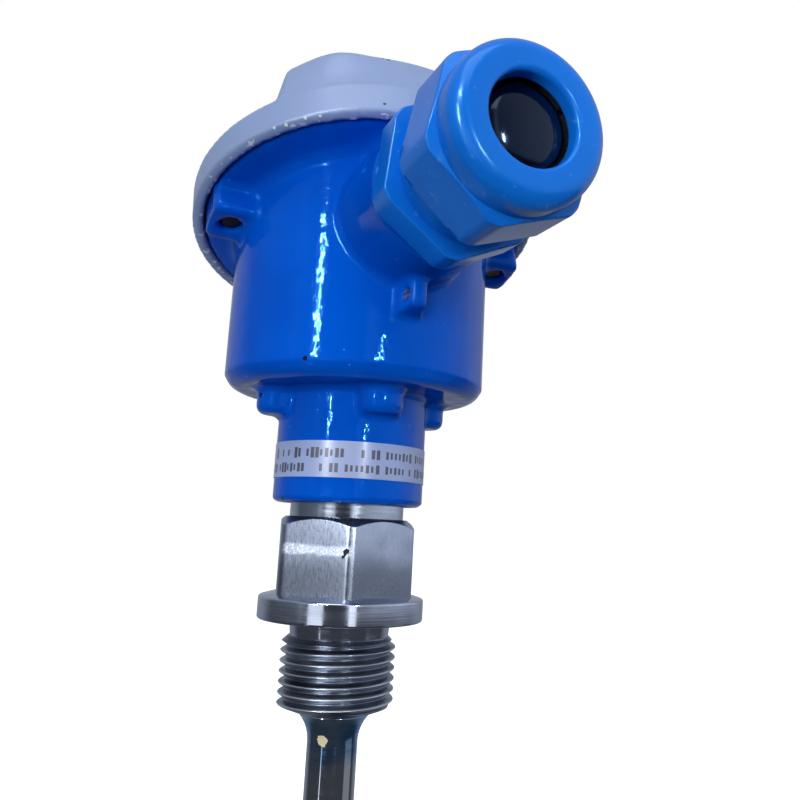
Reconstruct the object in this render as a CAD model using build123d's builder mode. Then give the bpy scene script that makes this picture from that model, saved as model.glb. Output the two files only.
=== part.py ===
# Resistance thermometer: a thermowell with a screwed process connection and a cast connection head.
# The origin is on the axis at the flange's lower sealing face, +Z points up to the head, and the
# cable gland points along -Y.  Everything is in millimetres.
import os
from math import cos, hypot, radians, sin, tan

from build123d import *

os.makedirs("parts", exist_ok=True)

# Process connection and thermowell
STEM_RADIUS = 4.5
STEM_END = -100.0
STEM_FILLET = 7.2
STEM_TIP_CHAMFER = 1.0
FOOT_FLARE = 2.1
THREAD_RADIUS = 20.955 / 2
THREAD_TOP = -3.8
THREAD_END = -16.2
RELIEF_RADIUS = 9.2
THREAD_CHAMFER = 1.1
FLANGE_RADIUS = 15.15
FLANGE_THICKNESS = 4.0
FLANGE_RISE = 0.7
FLANGE_CHAMFER = 0.4
HEX_ACROSS_FLATS = 24.0
HEX_CORNER_RADIUS = 13.5
HEX_TURN = 16.5
HEX_TOP = 18.3
HEX_CHAMFER_DROP = 1.6
HEX_CHAMFER_WIDTH = 2.2
COLLAR_RADIUS = 10.6
WELL_BORE_RADIUS = 3.5
WELL_TIP_WALL = 3.0

# Housing neck and the thread that joins it to the thermowell
NECK_RADIUS = 14.0
NECK_BOTTOM = 20.7
NECK_THREAD_RADIUS = 12.0
NECK_THREAD_DEPTH = 13.5
NECK_PASSAGE_RADIUS = 8.0
NECK_EDGE = 1.2
SPIGOT_RELIEF_LENGTH = 2.0
SPIGOT_LENGTH = 11.5
THREAD_CLEARANCE = 0.05
NECK_BOSS_RADIUS = 4.1
NECK_BOSS_BOTTOM = 36.5
FIXING_PITCH_RADIUS = 16.5
NECK_BOSS_OFFSET = 14.6
NECK_BOSS_COUNT = 4
NECK_BOSS_EDGE = 1.5
NECK_BOSS_ROOT = 1.2

# Housing drum
DRUM_RADIUS = 24.6
DRUM_BOTTOM = 41.3
DRUM_BOTTOM_FILLET = 3.2
DRUM_WALL = 2.3
FLOOR_THICKNESS = 3.0
CAST_OVERLAP = 1.0
EDGE_BAND = 0.1

# Inclined seat for the lid, high on the gland side
SEAT_HEIGHT = 73.4
SEAT_TILT = 18.2
RIM_RADIUS = 31.0
RIM_THICKNESS = 3.5
LID_OFFSET = 1.9
RIM_ROOT = 2.5

# Lid-screw lugs
LUG_SPREAD = 27.2
LUG_SHIFT = -3.2
LUG_HEIGHT = 5.4
LUG_HALF_WIDTH = 4.7
LUG_REACH = 31.0
LUG_CORNER = 1.5
LUG_EDGE = 0.8
LUG_ROOT = 1.5
LUG_ROOT_SIDE = 22.8
LUG_ROOT_BOTTOM = 60.0
SCREW_RADIUS = 2.0
SCREW_CLEARANCE = 0.1

# Lid
LID_RADIUS = 33.4
LID_HEIGHT = 6.6
LID_SKIRT_DROP = 0.3
SKIRT_CLEARANCE = 0.35
LID_SEAT_GAP = 0.05
LID_EDGE = 1.3
LID_FOOT_EDGE = 0.7
PLATEAU_HALF_WIDTH = 24.6
PLATEAU_INSET = 0.02
PLATEAU_BACK = 17.0
PLATEAU_TOP = 15.4
PLATEAU_DRAFT = 14.0
PLATEAU_CORNER = 4.0
PLATEAU_EDGE = 1.4
PLATEAU_FOOT = 3.0
PLATEAU_FOOT_BAND = 0.6
LID_WALL = 2.4
HOLLOW_RADIUS = 22.4
HOLLOW_HALF_WIDTH = 20.4
HOLLOW_BACK = 8.5
HOLLOW_DRAFT = 12.0
HOLLOW_CORNER = 4.0
GASKET_RADIUS = 24.35
GASKET_WIDTH = 1.3
GASKET_HEIGHT = 1.4

# Lid screws
LID_SCREW_HEAD_RADIUS = 3.4
LID_SCREW_HEAD_HEIGHT = 2.8
LID_SCREW_END = 4.4
SCREW_POCKET_CLEARANCE = 0.5
SLOT_WIDTH = 1.0
SLOT_DEPTH = 1.2

# Cable gland, measured outwards from the axis
GLAND_DROP = 3.5
GLAND_HEIGHT = SEAT_HEIGHT - GLAND_DROP
BOSS_RADIUS = 12.9
BOSS_END = 37.8
BOSS_DRAFT = 1.2
BOSS_FLARE_LENGTH = 19.8
BOSS_END_DROP = 0.9
BOSS_ROOT = 1.5
BOSS_ROOT_BAND = 1.2
ENTRY_OVERRUN = 6.0
ENTRY_RADIUS = 10.0
STUB_LENGTH = 13.0
WASHER_THICKNESS = 1.2
WASHER_RADIUS = 11.3
GLAND_HEX_LENGTH = 5.6
GLAND_ACROSS_FLATS = 24.4
GLAND_CORNER_FLATS = 27.0
GLAND_HEX_TURN = 24.5
HEX_HALF_TURN = 30.0
STUB_CHAMFER = 1.0
GLAND_THREAD_RADIUS = 10.6
GLAND_BORE_RADIUS = 8.0
GLAND_THREAD_END = 58.0
NUT_START = 49.7
NUT_HEX_END = 60.0
NUT_END = 65.3
NUT_DOME_RADIUS = 11.85
NUT_DOME_EDGE = 2.8
NUT_HOLE_RADIUS = 6.65
NUT_HOLE_EDGE = 0.8
NUT_WALL = 2.2
NUT_HEX_CHAMFER = 0.6
NUT_TURN = 18.8
NUT_COLLAR_RADIUS = 11.4
NUT_COLLAR_LENGTH = 1.0
NUT_THREAD_CLEARANCE = 0.06
PLUG_RADIUS = 5.9
PLUG_COLLAR_RADIUS = 6.35
PLUG_COLLAR_START = 61.2
PLUG_HEAD = 63.7
PLUG_START = 51.4
PLUG_DOME = 1.6
SEAL_START = 50.6
SEAL_LENGTH = 8.0
CLAW_LENGTH = 4.2
CLAW_CLEARANCE = 0.3
CLAW_COUNT = 10
CLAW_SLOT = 0.9
CLAW_SLOT_SHARE = 0.7

# Earth-terminal boss under the gland boss
EARTH_REACH = 30.2
EARTH_HALF_FRONT = 1.3
EARTH_HALF_BASE = 2.7
EARTH_DROP = 17.8
EARTH_BOTTOM = GLAND_HEIGHT - EARTH_DROP
EARTH_RAMP = 1.0
EARTH_SINK = 1.5
EARTH_RISE = 3.0
EARTH_EDGE = 0.7
EARTH_SCREW_RADIUS = 1.0
EARTH_SCREW_OUT = 27.6
EARTH_SCREW_DROP = 14.7
EARTH_SCREW_HEIGHT = GLAND_HEIGHT - EARTH_SCREW_DROP
EARTH_CLEARANCE = 0.05
EARTH_SCREW_FACE = 1.7
EARTH_SCREW_LENGTH = 2.6

# Measuring insert
PILLAR_RADIUS = 3.6
PILLAR_HEIGHT = 1.7
PLATE_RADIUS = 21.0
PLATE_THICKNESS = 1.2
SHEATH_RADIUS = 3.0
SHEATH_TIP_GAP = 0.3
SHEATH_TIP_ROUND = 1.8
FIXING_RADIUS = 1.95
FIXING_CLEARANCE = 0.35
FIXING_DEPTH = 6.5
FIXING_HEAD_RADIUS = 3.5
FIXING_HEAD_HEIGHT = 2.6
SCREW_POINT = 0.5
SCREW_HEAD_EDGE = 0.4
SPRING_WIRE = 0.35
SPRING_RADIUS = 2.9
SPRING_LENGTH = 8.0
SPRING_TURNS = 5

# Head transmitter
PUCK_RADIUS = 21.9
PUCK_HEIGHT = 12.0
PUCK_TOWER_RADIUS = 12.0
PUCK_TOWER_HEIGHT = 5.0
PUCK_BORE = 3.4
PUCK_SHELF = 5.0
PUCK_POCKET = 4.6
PUCK_EDGE = 1.0
TERMINAL_RADIUS = 2.2
TERMINAL_PITCH_RADIUS = 17.0
TERMINAL_ANGLES = (-125, -90, -55, 55, 90, 125)
TERMINAL_SHANK_RADIUS = 1.2
TERMINAL_DEPTH = 4.0
TERMINAL_HEAD = 1.4
TERMINAL_SETBACK = 1.2
WIRE_RADIUS = 0.5
WIRE_ANGLES = (55, 90, 125)
WIRE_FAN = 2.2
WIRE_ARCH = 2.0
WIRE_BEND = 2.2

# Label band round the neck
LABEL_BOTTOM = 25.1
LABEL_TOP = 31.5
LABEL_THICKNESS = 0.12

# Derived places
FLOOR = DRUM_BOTTOM + FLOOR_THICKNESS
CAVITY_RADIUS = DRUM_RADIUS - DRUM_WALL
PILLAR_TOP = FLOOR + PILLAR_HEIGHT
PLATE_TOP = PILLAR_TOP + PLATE_THICKNESS
PUCK_TOP = PLATE_TOP + PUCK_HEIGHT
SHELF_TOP = PLATE_TOP + PUCK_SHELF
FIXING_SEAT = SHELF_TOP + SPRING_LENGTH
GLAND_HEX_START = BOSS_END + WASHER_THICKNESS
GLAND_HEX_STOP = GLAND_HEX_START + GLAND_HEX_LENGTH
CLAW_START = GLAND_THREAD_END + CLAW_CLEARANCE
SKIRT_RADIUS = RIM_RADIUS + SKIRT_CLEARANCE
LID_SEAT = RIM_THICKNESS + LID_SEAT_GAP
SCREW_PLACES = ((-LUG_SPREAD, LUG_SHIFT), (LUG_SPREAD, LUG_SHIFT))
TERMINAL_PLACES = tuple(
    (TERMINAL_PITCH_RADIUS * cos(radians(angle)), TERMINAL_PITCH_RADIUS * sin(radians(angle)))
    for angle in TERMINAL_ANGLES
)
FIXING_PLACES = ((-FIXING_PITCH_RADIUS, 0), (FIXING_PITCH_RADIUS, 0))
gland_axis = Axis((0, 0, GLAND_HEIGHT), (0, -1, 0))


def seat_plane(height=0.0):
    """Plane parallel to the lid seat, its local Z along the lid's normal and local -Y up to the gland."""
    normal = Vector(0, sin(radians(SEAT_TILT)), cos(radians(SEAT_TILT)))
    origin = Vector(0, 0, SEAT_HEIGHT) + normal * height
    return Plane(origin=origin, x_dir=(1, 0, 0), z_dir=normal)


def seat_level(shape):
    """Height of a face's centre, or of an edge's middle, above the lid seat along the lid's normal."""
    return (shape.center() - seat_plane().origin).dot(seat_plane().z_dir)


def gland_plane(distance):
    """Plane square to the gland's axis, its local Z pointing outwards."""
    return Plane(origin=(0, -distance, GLAND_HEIGHT), x_dir=(1, 0, 0), z_dir=(0, -1, 0))


def gland_hexagon(length, plane, turn):
    """Hexagonal prism whose corners are cut back by a second, larger hexagon."""
    with BuildPart() as prism:
        with BuildSketch(plane):
            RegularPolygon(GLAND_ACROSS_FLATS / 2, 6, major_radius=False, rotation=turn)
            RegularPolygon(
                GLAND_CORNER_FLATS / 2,
                6,
                major_radius=False,
                rotation=turn + HEX_HALF_TURN,
                mode=Mode.INTERSECT,
            )
        extrude(amount=length)
    return prism.part


def earth_plane(distance):
    """Plane square to the earth screw, its local Z along -X out of the boss's left side."""
    origin = (-distance, -EARTH_SCREW_OUT, EARTH_SCREW_HEIGHT)
    return Plane(origin=origin, x_dir=(0, -1, 0), z_dir=(-1, 0, 0))


def gland_ring(inner, outer, start, stop):
    """Plain ring on the gland's axis."""
    with BuildPart() as ring:
        with BuildSketch(gland_plane(start)):
            Circle(outer)
            Circle(inner, mode=Mode.SUBTRACT)
        extrude(amount=stop - start)
    return ring.part


# Thermowell: spigot, relief, hexagon, flange, thread and stem turned from one bar
spigot_base = NECK_BOTTOM + SPIGOT_RELIEF_LENGTH
spigot_top = NECK_BOTTOM + SPIGOT_LENGTH
spigot_radius = NECK_THREAD_RADIUS - THREAD_CLEARANCE
with BuildPart() as thermowell:
    with BuildSketch(Plane.XZ):
        with BuildLine():
            foot_radius = STEM_RADIUS + FOOT_FLARE
            foot_start = THREAD_END - (STEM_FILLET**2 - (STEM_FILLET - FOOT_FLARE) ** 2) ** 0.5
            Polyline(
                (0, STEM_END),
                (STEM_RADIUS - STEM_TIP_CHAMFER, STEM_END),
                (STEM_RADIUS, STEM_END + STEM_TIP_CHAMFER),
                (STEM_RADIUS, foot_start),
            )
            RadiusArc((STEM_RADIUS, foot_start), (foot_radius, THREAD_END), STEM_FILLET)
            Polyline(
                (foot_radius, THREAD_END),
                (THREAD_RADIUS - THREAD_CHAMFER, THREAD_END),
                (THREAD_RADIUS, THREAD_END + THREAD_CHAMFER),
                (THREAD_RADIUS, THREAD_TOP),
                (RELIEF_RADIUS, THREAD_TOP + THREAD_RADIUS - RELIEF_RADIUS),
                (RELIEF_RADIUS, 0),
                (FLANGE_RADIUS - FLANGE_CHAMFER, 0),
                (FLANGE_RADIUS, FLANGE_CHAMFER),
                (FLANGE_RADIUS, FLANGE_THICKNESS - FLANGE_CHAMFER),
                (FLANGE_RADIUS - FLANGE_CHAMFER, FLANGE_THICKNESS),
                (COLLAR_RADIUS, FLANGE_THICKNESS + FLANGE_RISE),
                (COLLAR_RADIUS, spigot_base),
                (spigot_radius, spigot_base + spigot_radius - COLLAR_RADIUS),
                (spigot_radius, spigot_top),
                (0, spigot_top),
                (0, STEM_END),
            )
        make_face()
    revolve(axis=Axis.Z)
    with BuildSketch(Plane.XY.offset(FLANGE_THICKNESS)):
        RegularPolygon(HEX_ACROSS_FLATS / 2, 6, major_radius=False, rotation=HEX_TURN)
        Circle(HEX_CORNER_RADIUS, mode=Mode.INTERSECT)
    extrude(amount=HEX_TOP - FLANGE_THICKNESS)
    with BuildSketch(Plane.XZ):
        with BuildLine():
            Polyline(
                (HEX_CORNER_RADIUS - HEX_CHAMFER_WIDTH, HEX_TOP),
                (HEX_CORNER_RADIUS + HEX_CHAMFER_WIDTH, HEX_TOP),
                (HEX_CORNER_RADIUS + HEX_CHAMFER_WIDTH, HEX_TOP - 2 * HEX_CHAMFER_DROP),
                (HEX_CORNER_RADIUS - HEX_CHAMFER_WIDTH, HEX_TOP),
            )
        make_face()
    revolve(axis=Axis.Z, mode=Mode.SUBTRACT)
    with BuildSketch(Plane.XY.offset(spigot_top)):
        Circle(WELL_BORE_RADIUS)
    extrude(amount=-(spigot_top - STEM_END - WELL_TIP_WALL), mode=Mode.SUBTRACT)
thermowell.part.label = "thermowell"


def axis_distance(edge):
    """Distance of an edge's middle from the probe's axis."""
    middle = edge @ 0.5
    return hypot(middle.X, middle.Y)


def gland_distance(edge):
    """Distance of an edge's middle from the gland's axis."""
    middle = edge @ 0.5
    return hypot(middle.X, middle.Z - GLAND_HEIGHT)


def edges_at(solid, height):
    """Edges whose middle lies at one height above the flange."""
    return solid.edges().filter_by_position(Axis.Z, height - EDGE_BAND, height + EDGE_BAND)


# Head housing: drum and inclined rim of the casting
with BuildPart() as housing:
    with BuildSketch(Plane.XY.offset(DRUM_BOTTOM)):
        Circle(DRUM_RADIUS)
    extrude(amount=SEAT_HEIGHT - DRUM_BOTTOM + 2 * DRUM_RADIUS * tan(radians(SEAT_TILT)))
    fillet(housing.edges().group_by(Axis.Z)[0], radius=DRUM_BOTTOM_FILLET)
    split(bisect_by=seat_plane(RIM_THICKNESS), keep=Keep.BOTTOM)
    with BuildSketch(seat_plane()):
        with Locations((0, -LID_OFFSET)):
            Circle(RIM_RADIUS)
    extrude(amount=RIM_THICKNESS)
    rim_underside = housing.faces().filter_by(seat_plane()).sort_by(Axis.Z)[0]
    fillet(rim_underside.edges().sort_by(SortBy.LENGTH)[0], radius=RIM_ROOT)

    # Neck and the four bosses of the inner fixing points
    with BuildSketch(Plane.XY.offset(NECK_BOTTOM)):
        Circle(NECK_RADIUS)
    extrude(amount=DRUM_BOTTOM - NECK_BOTTOM + CAST_OVERLAP)
    fillet(housing.edges().filter_by(GeomType.CIRCLE).group_by(Axis.Z)[0], radius=NECK_EDGE)
    with BuildSketch(Plane.XY.offset(NECK_BOSS_BOTTOM)):
        with PolarLocations(NECK_BOSS_OFFSET, NECK_BOSS_COUNT):
            Circle(NECK_BOSS_RADIUS)
    extrude(amount=DRUM_BOTTOM - NECK_BOSS_BOTTOM + CAST_OVERLAP)
    boss_bottoms = edges_at(housing, NECK_BOSS_BOTTOM)
    outer_bottoms = [edge for edge in boss_bottoms if axis_distance(edge) > NECK_RADIUS + EDGE_BAND]
    fillet(outer_bottoms, radius=NECK_BOSS_EDGE)
    boss_reach = NECK_BOSS_OFFSET + NECK_BOSS_RADIUS
    drum_roots = edges_at(housing, DRUM_BOTTOM)
    boss_roots = [edge for edge in drum_roots if axis_distance(edge) < boss_reach + EDGE_BAND]
    fillet(boss_roots, radius=NECK_BOSS_ROOT)
    uprights = housing.edges().filter_by(Axis.Z).filter_by_position(Axis.Z, NECK_BOTTOM, DRUM_BOTTOM)
    outer_uprights = [edge for edge in uprights if axis_distance(edge) > NECK_PASSAGE_RADIUS]
    fillet(outer_uprights, radius=NECK_BOSS_ROOT)

    # Lugs for the lid screws
    with BuildSketch(seat_plane(-LUG_HEIGHT)):
        for side in (-1, 1):
            with Locations((side * (CAVITY_RADIUS + LUG_REACH) / 2, LUG_SHIFT)):
                RectangleRounded(LUG_REACH - CAVITY_RADIUS, 2 * LUG_HALF_WIDTH, LUG_CORNER)
    extrude(amount=LUG_HEIGHT + RIM_THICKNESS / 2)
    seat_faces = housing.faces().filter_by(seat_plane())
    lug_faces = [face for face in seat_faces if seat_level(face) < -LUG_HEIGHT / 2]
    lug_edges = ShapeList([edge for face in lug_faces for edge in face.edges()])
    outer_lug_edges = [edge for edge in lug_edges if axis_distance(edge) > DRUM_RADIUS + EDGE_BAND]
    fillet(outer_lug_edges, radius=LUG_EDGE)
    side_edges = housing.edges().filter_by_position(Axis.Z, LUG_ROOT_BOTTOM, SEAT_HEIGHT + RIM_RADIUS)
    side_edges = [edge for edge in side_edges if abs(axis_distance(edge) - DRUM_RADIUS) < EDGE_BAND]
    fillet([edge for edge in side_edges if abs((edge @ 0.5).X) > LUG_ROOT_SIDE], radius=LUG_ROOT)

    # Gland boss, square to the axis
    with BuildSketch(gland_plane(BOSS_END)):
        Circle(BOSS_RADIUS - BOSS_END_DROP)
    extrude(amount=-BOSS_FLARE_LENGTH, taper=-BOSS_DRAFT)
    drum_side = housing.edges().filter_by_position(Axis.Y, -DRUM_RADIUS, -BOSS_RADIUS)
    drum_side = drum_side.filter_by_position(Axis.Z, FLOOR, GLAND_HEIGHT + BOSS_RADIUS / 2)
    boss_foot = [edge for edge in drum_side if abs(gland_distance(edge) - BOSS_RADIUS) < BOSS_ROOT_BAND]
    fillet(boss_foot, radius=BOSS_ROOT)

    # Earth boss under it, ramped at its foot
    with BuildSketch(Plane.XY.offset(EARTH_BOTTOM)):
        Polygon(
            (-EARTH_HALF_BASE, -DRUM_RADIUS + EARTH_SINK),
            (EARTH_HALF_BASE, -DRUM_RADIUS + EARTH_SINK),
            (EARTH_HALF_FRONT, -EARTH_REACH),
            (-EARTH_HALF_FRONT, -EARTH_REACH),
            align=None,
        )
    extrude(amount=GLAND_HEIGHT - BOSS_RADIUS + EARTH_RISE - EARTH_BOTTOM)
    with BuildSketch(Plane.YZ):
        Polygon(
            (-EARTH_REACH - CAST_OVERLAP, EARTH_BOTTOM - CAST_OVERLAP),
            (-DRUM_RADIUS, EARTH_BOTTOM - CAST_OVERLAP),
            (-DRUM_RADIUS, EARTH_BOTTOM),
            (-EARTH_REACH - CAST_OVERLAP, EARTH_BOTTOM + EARTH_RAMP),
            align=None,
        )
    extrude(amount=EARTH_HALF_BASE + CAST_OVERLAP, both=True, mode=Mode.SUBTRACT)
    front_band = (-EARTH_REACH - EDGE_BAND, -EARTH_REACH + EDGE_BAND)
    earth_edges = housing.edges().filter_by_position(Axis.Y, *front_band)
    earth_edges = earth_edges.filter_by_position(Axis.Z, EARTH_BOTTOM, GLAND_HEIGHT - BOSS_RADIUS)
    fillet(earth_edges, radius=EARTH_EDGE)

    # Cavity, pillars, bores and threads
    with BuildSketch(Plane.XY.offset(FLOOR)):
        Circle(CAVITY_RADIUS)
    extrude(amount=SEAT_HEIGHT + CAVITY_RADIUS, mode=Mode.SUBTRACT)
    with BuildSketch(Plane.XY.offset(FLOOR - CAST_OVERLAP)):
        with Locations(*FIXING_PLACES):
            Circle(PILLAR_RADIUS)
    extrude(amount=PILLAR_HEIGHT + CAST_OVERLAP)
    with BuildSketch(Plane.XY.offset(PILLAR_TOP)):
        with Locations(*FIXING_PLACES):
            Circle(FIXING_RADIUS + THREAD_CLEARANCE)
    extrude(amount=-(FIXING_DEPTH + CAST_OVERLAP), mode=Mode.SUBTRACT)
    with BuildSketch(Plane.XY.offset(NECK_BOTTOM)):
        Circle(NECK_THREAD_RADIUS)
    extrude(amount=NECK_THREAD_DEPTH, mode=Mode.SUBTRACT)
    with BuildSketch(Plane.XY.offset(NECK_BOTTOM)):
        Circle(NECK_PASSAGE_RADIUS)
    extrude(amount=FLOOR - NECK_BOTTOM, mode=Mode.SUBTRACT)
    with BuildSketch(gland_plane(BOSS_END)):
        Circle(ENTRY_RADIUS)
    extrude(amount=-(BOSS_END - CAVITY_RADIUS + ENTRY_OVERRUN), mode=Mode.SUBTRACT)
    with BuildSketch(seat_plane(-LUG_HEIGHT)):
        with Locations(*SCREW_PLACES):
            Circle(SCREW_RADIUS + SCREW_CLEARANCE)
    extrude(amount=LUG_HEIGHT + RIM_THICKNESS, mode=Mode.SUBTRACT)
    with BuildSketch(earth_plane(EARTH_HALF_BASE)):
        Circle(EARTH_SCREW_RADIUS + EARTH_CLEARANCE)
    extrude(amount=-(EARTH_HALF_BASE - EARTH_SCREW_FACE + EARTH_SCREW_LENGTH), mode=Mode.SUBTRACT)
housing.part.label = "head_housing"

# Lid: round tier with soft edges and a raised plateau that runs into its front wall, hollow underneath
plateau_base = LID_HEIGHT - LID_EDGE
plateau_length = LID_RADIUS + PLATEAU_BACK
plateau_middle = (0, -LID_OFFSET - LID_RADIUS + plateau_length / 2)
with BuildPart() as lid:
    with BuildSketch(seat_plane(-LID_SKIRT_DROP)):
        with Locations((0, -LID_OFFSET)):
            Circle(LID_RADIUS)
    extrude(amount=LID_HEIGHT + LID_SKIRT_DROP)
    fillet(lid.faces().filter_by(seat_plane()).sort_by(Axis.Z)[-1].edges(), radius=LID_EDGE)
    fillet(lid.faces().filter_by(seat_plane()).sort_by(Axis.Z)[0].edges(), radius=LID_FOOT_EDGE)
    with BuildSketch(seat_plane(plateau_base)) as plateau:
        with Locations((0, -LID_OFFSET)):
            Circle(LID_RADIUS - PLATEAU_INSET)
        with Locations(plateau_middle):
            Rectangle(2 * PLATEAU_HALF_WIDTH, plateau_length, mode=Mode.INTERSECT)
        fillet(plateau.vertices(), radius=PLATEAU_CORNER)
    extrude(amount=PLATEAU_TOP - plateau_base, taper=PLATEAU_DRAFT)
    fillet(lid.faces().filter_by(seat_plane()).sort_by(Axis.Z)[-1].edges(), radius=PLATEAU_EDGE)
    foot_edges = [edge for edge in lid.edges() if abs(seat_level(edge) - LID_HEIGHT) < PLATEAU_FOOT_BAND]
    inner_foot = [edge for edge in foot_edges if axis_distance(edge) < RIM_RADIUS + CAST_OVERLAP]
    fillet(inner_foot, radius=PLATEAU_FOOT)
    with BuildSketch(seat_plane(-LID_SKIRT_DROP)):
        with Locations((0, -LID_OFFSET)):
            Circle(SKIRT_RADIUS)
    extrude(amount=LID_SEAT + LID_SKIRT_DROP, mode=Mode.SUBTRACT)
    with BuildSketch(seat_plane(LID_SEAT)):
        Circle(GASKET_RADIUS + GASKET_WIDTH / 2)
        Circle(GASKET_RADIUS - GASKET_WIDTH / 2, mode=Mode.SUBTRACT)
    extrude(amount=RIM_THICKNESS + GASKET_HEIGHT - LID_SEAT, mode=Mode.SUBTRACT)
    with BuildSketch(seat_plane(LID_SEAT)) as hollow:
        Circle(HOLLOW_RADIUS)
        with Locations((0, -HOLLOW_RADIUS + (HOLLOW_RADIUS + HOLLOW_BACK) / 2)):
            Rectangle(2 * HOLLOW_HALF_WIDTH, HOLLOW_RADIUS + HOLLOW_BACK, mode=Mode.INTERSECT)
        fillet(hollow.vertices(), radius=HOLLOW_CORNER)
    extrude(amount=PLATEAU_TOP - LID_WALL - LID_SEAT, taper=HOLLOW_DRAFT, mode=Mode.SUBTRACT)
    with BuildSketch(seat_plane(LID_SEAT)):
        with Locations(*SCREW_PLACES):
            Circle(SCREW_RADIUS + SCREW_CLEARANCE)
    extrude(amount=LID_HEIGHT - LID_SEAT, mode=Mode.SUBTRACT)
    with BuildSketch(seat_plane(LID_HEIGHT)):
        with Locations(*SCREW_PLACES):
            Circle(LID_SCREW_HEAD_RADIUS + SCREW_POCKET_CLEARANCE)
    extrude(amount=PLATEAU_TOP - LID_HEIGHT, mode=Mode.SUBTRACT)
lid.part.label = "lid"

# Lid gasket, pressed between the rim and the groove in the lid
with BuildPart() as lid_gasket:
    with BuildSketch(seat_plane(RIM_THICKNESS)):
        Circle(GASKET_RADIUS + GASKET_WIDTH / 2)
        Circle(GASKET_RADIUS - GASKET_WIDTH / 2, mode=Mode.SUBTRACT)
    extrude(amount=GASKET_HEIGHT)
lid_gasket.part.label = "lid_gasket"


def lid_screw(side, label):
    """Slotted cheese-head screw through the lid's tier and the rim into the lug."""
    with BuildPart() as screw:
        with BuildSketch(seat_plane(-LID_SCREW_END)):
            with Locations((side * LUG_SPREAD, LUG_SHIFT)):
                Circle(SCREW_RADIUS)
        extrude(amount=LID_SCREW_END + LID_HEIGHT)
        chamfer(screw.edges().sort_by(Axis.Z)[0], length=SCREW_POINT)
        with BuildSketch(seat_plane(LID_HEIGHT)):
            with Locations((side * LUG_SPREAD, LUG_SHIFT)):
                Circle(LID_SCREW_HEAD_RADIUS)
        extrude(amount=LID_SCREW_HEAD_HEIGHT)
        chamfer(screw.edges().sort_by(Axis.Z)[-1], length=SCREW_HEAD_EDGE)
        with BuildSketch(seat_plane(LID_HEIGHT + LID_SCREW_HEAD_HEIGHT)):
            with Locations((side * LUG_SPREAD, LUG_SHIFT)):
                Rectangle(2 * LID_SCREW_HEAD_RADIUS, SLOT_WIDTH)
        extrude(amount=-SLOT_DEPTH, mode=Mode.SUBTRACT)
    screw.part.label = label
    return screw.part


screw_left = lid_screw(-1, "lid_screw_left")
screw_right = lid_screw(1, "lid_screw_right")

# Gland body: threaded stub in the boss, hexagon and outer thread, bored through
with BuildPart() as gland_body:
    with BuildSketch(gland_plane(BOSS_END - STUB_LENGTH)):
        Circle(ENTRY_RADIUS - THREAD_CLEARANCE)
    extrude(amount=STUB_LENGTH + WASHER_THICKNESS)
    chamfer(gland_body.edges().sort_by(Axis.Y)[-1], length=STUB_CHAMFER)
    add(gland_hexagon(GLAND_HEX_LENGTH, gland_plane(GLAND_HEX_START), GLAND_HEX_TURN))
    with BuildSketch(gland_plane(GLAND_HEX_STOP)):
        Circle(GLAND_THREAD_RADIUS)
    extrude(amount=GLAND_THREAD_END - GLAND_HEX_STOP)
    with BuildSketch(gland_plane(BOSS_END - STUB_LENGTH)):
        Circle(GLAND_BORE_RADIUS)
    extrude(amount=STUB_LENGTH + GLAND_THREAD_END - BOSS_END, mode=Mode.SUBTRACT)
gland_body.part.label = "gland_body"

gland_washer = gland_ring(ENTRY_RADIUS, WASHER_RADIUS, BOSS_END, GLAND_HEX_START)
gland_washer.label = "gland_washer"

# Dome nut: hexagon with cut-back corners, turned dome with a rounded hole
with BuildPart() as gland_nut:
    add(gland_hexagon(NUT_HEX_END - NUT_START, gland_plane(NUT_START), NUT_TURN))
    with BuildSketch(gland_plane(NUT_START - NUT_COLLAR_LENGTH)):
        Circle(NUT_COLLAR_RADIUS)
    extrude(amount=NUT_COLLAR_LENGTH)
    with BuildSketch(gland_plane(NUT_START)):
        Circle(NUT_DOME_RADIUS)
    extrude(amount=NUT_END - NUT_START)
    fillet(gland_nut.edges().filter_by(GeomType.CIRCLE).sort_by(Axis.Y)[0], radius=NUT_DOME_EDGE)
    with BuildSketch(gland_plane(NUT_END)):
        Circle(NUT_HOLE_RADIUS)
    extrude(amount=-(NUT_END - NUT_START), mode=Mode.SUBTRACT)
    front_circles = gland_nut.edges().filter_by(GeomType.CIRCLE).group_by(Axis.Y)[0]
    fillet(front_circles.sort_by(SortBy.RADIUS)[0], radius=NUT_HOLE_EDGE)
    with BuildSketch(gland_plane(NUT_START - NUT_COLLAR_LENGTH)):
        Circle(GLAND_THREAD_RADIUS + NUT_THREAD_CLEARANCE)
    extrude(amount=NUT_END - NUT_WALL - NUT_START + NUT_COLLAR_LENGTH, mode=Mode.SUBTRACT)
    with BuildSketch(Plane.YZ):
        with Locations((-NUT_HEX_END, GLAND_HEIGHT)):
            Polygon(
                (0, NUT_DOME_RADIUS),
                (NUT_HEX_CHAMFER, GLAND_CORNER_FLATS / 2 + NUT_HEX_CHAMFER),
                (-NUT_HEX_CHAMFER, GLAND_CORNER_FLATS / 2 + NUT_HEX_CHAMFER),
                (-NUT_HEX_CHAMFER, NUT_DOME_RADIUS),
                align=None,
            )
    revolve(axis=gland_axis, mode=Mode.SUBTRACT)
gland_nut.part.label = "gland_nut"

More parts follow.
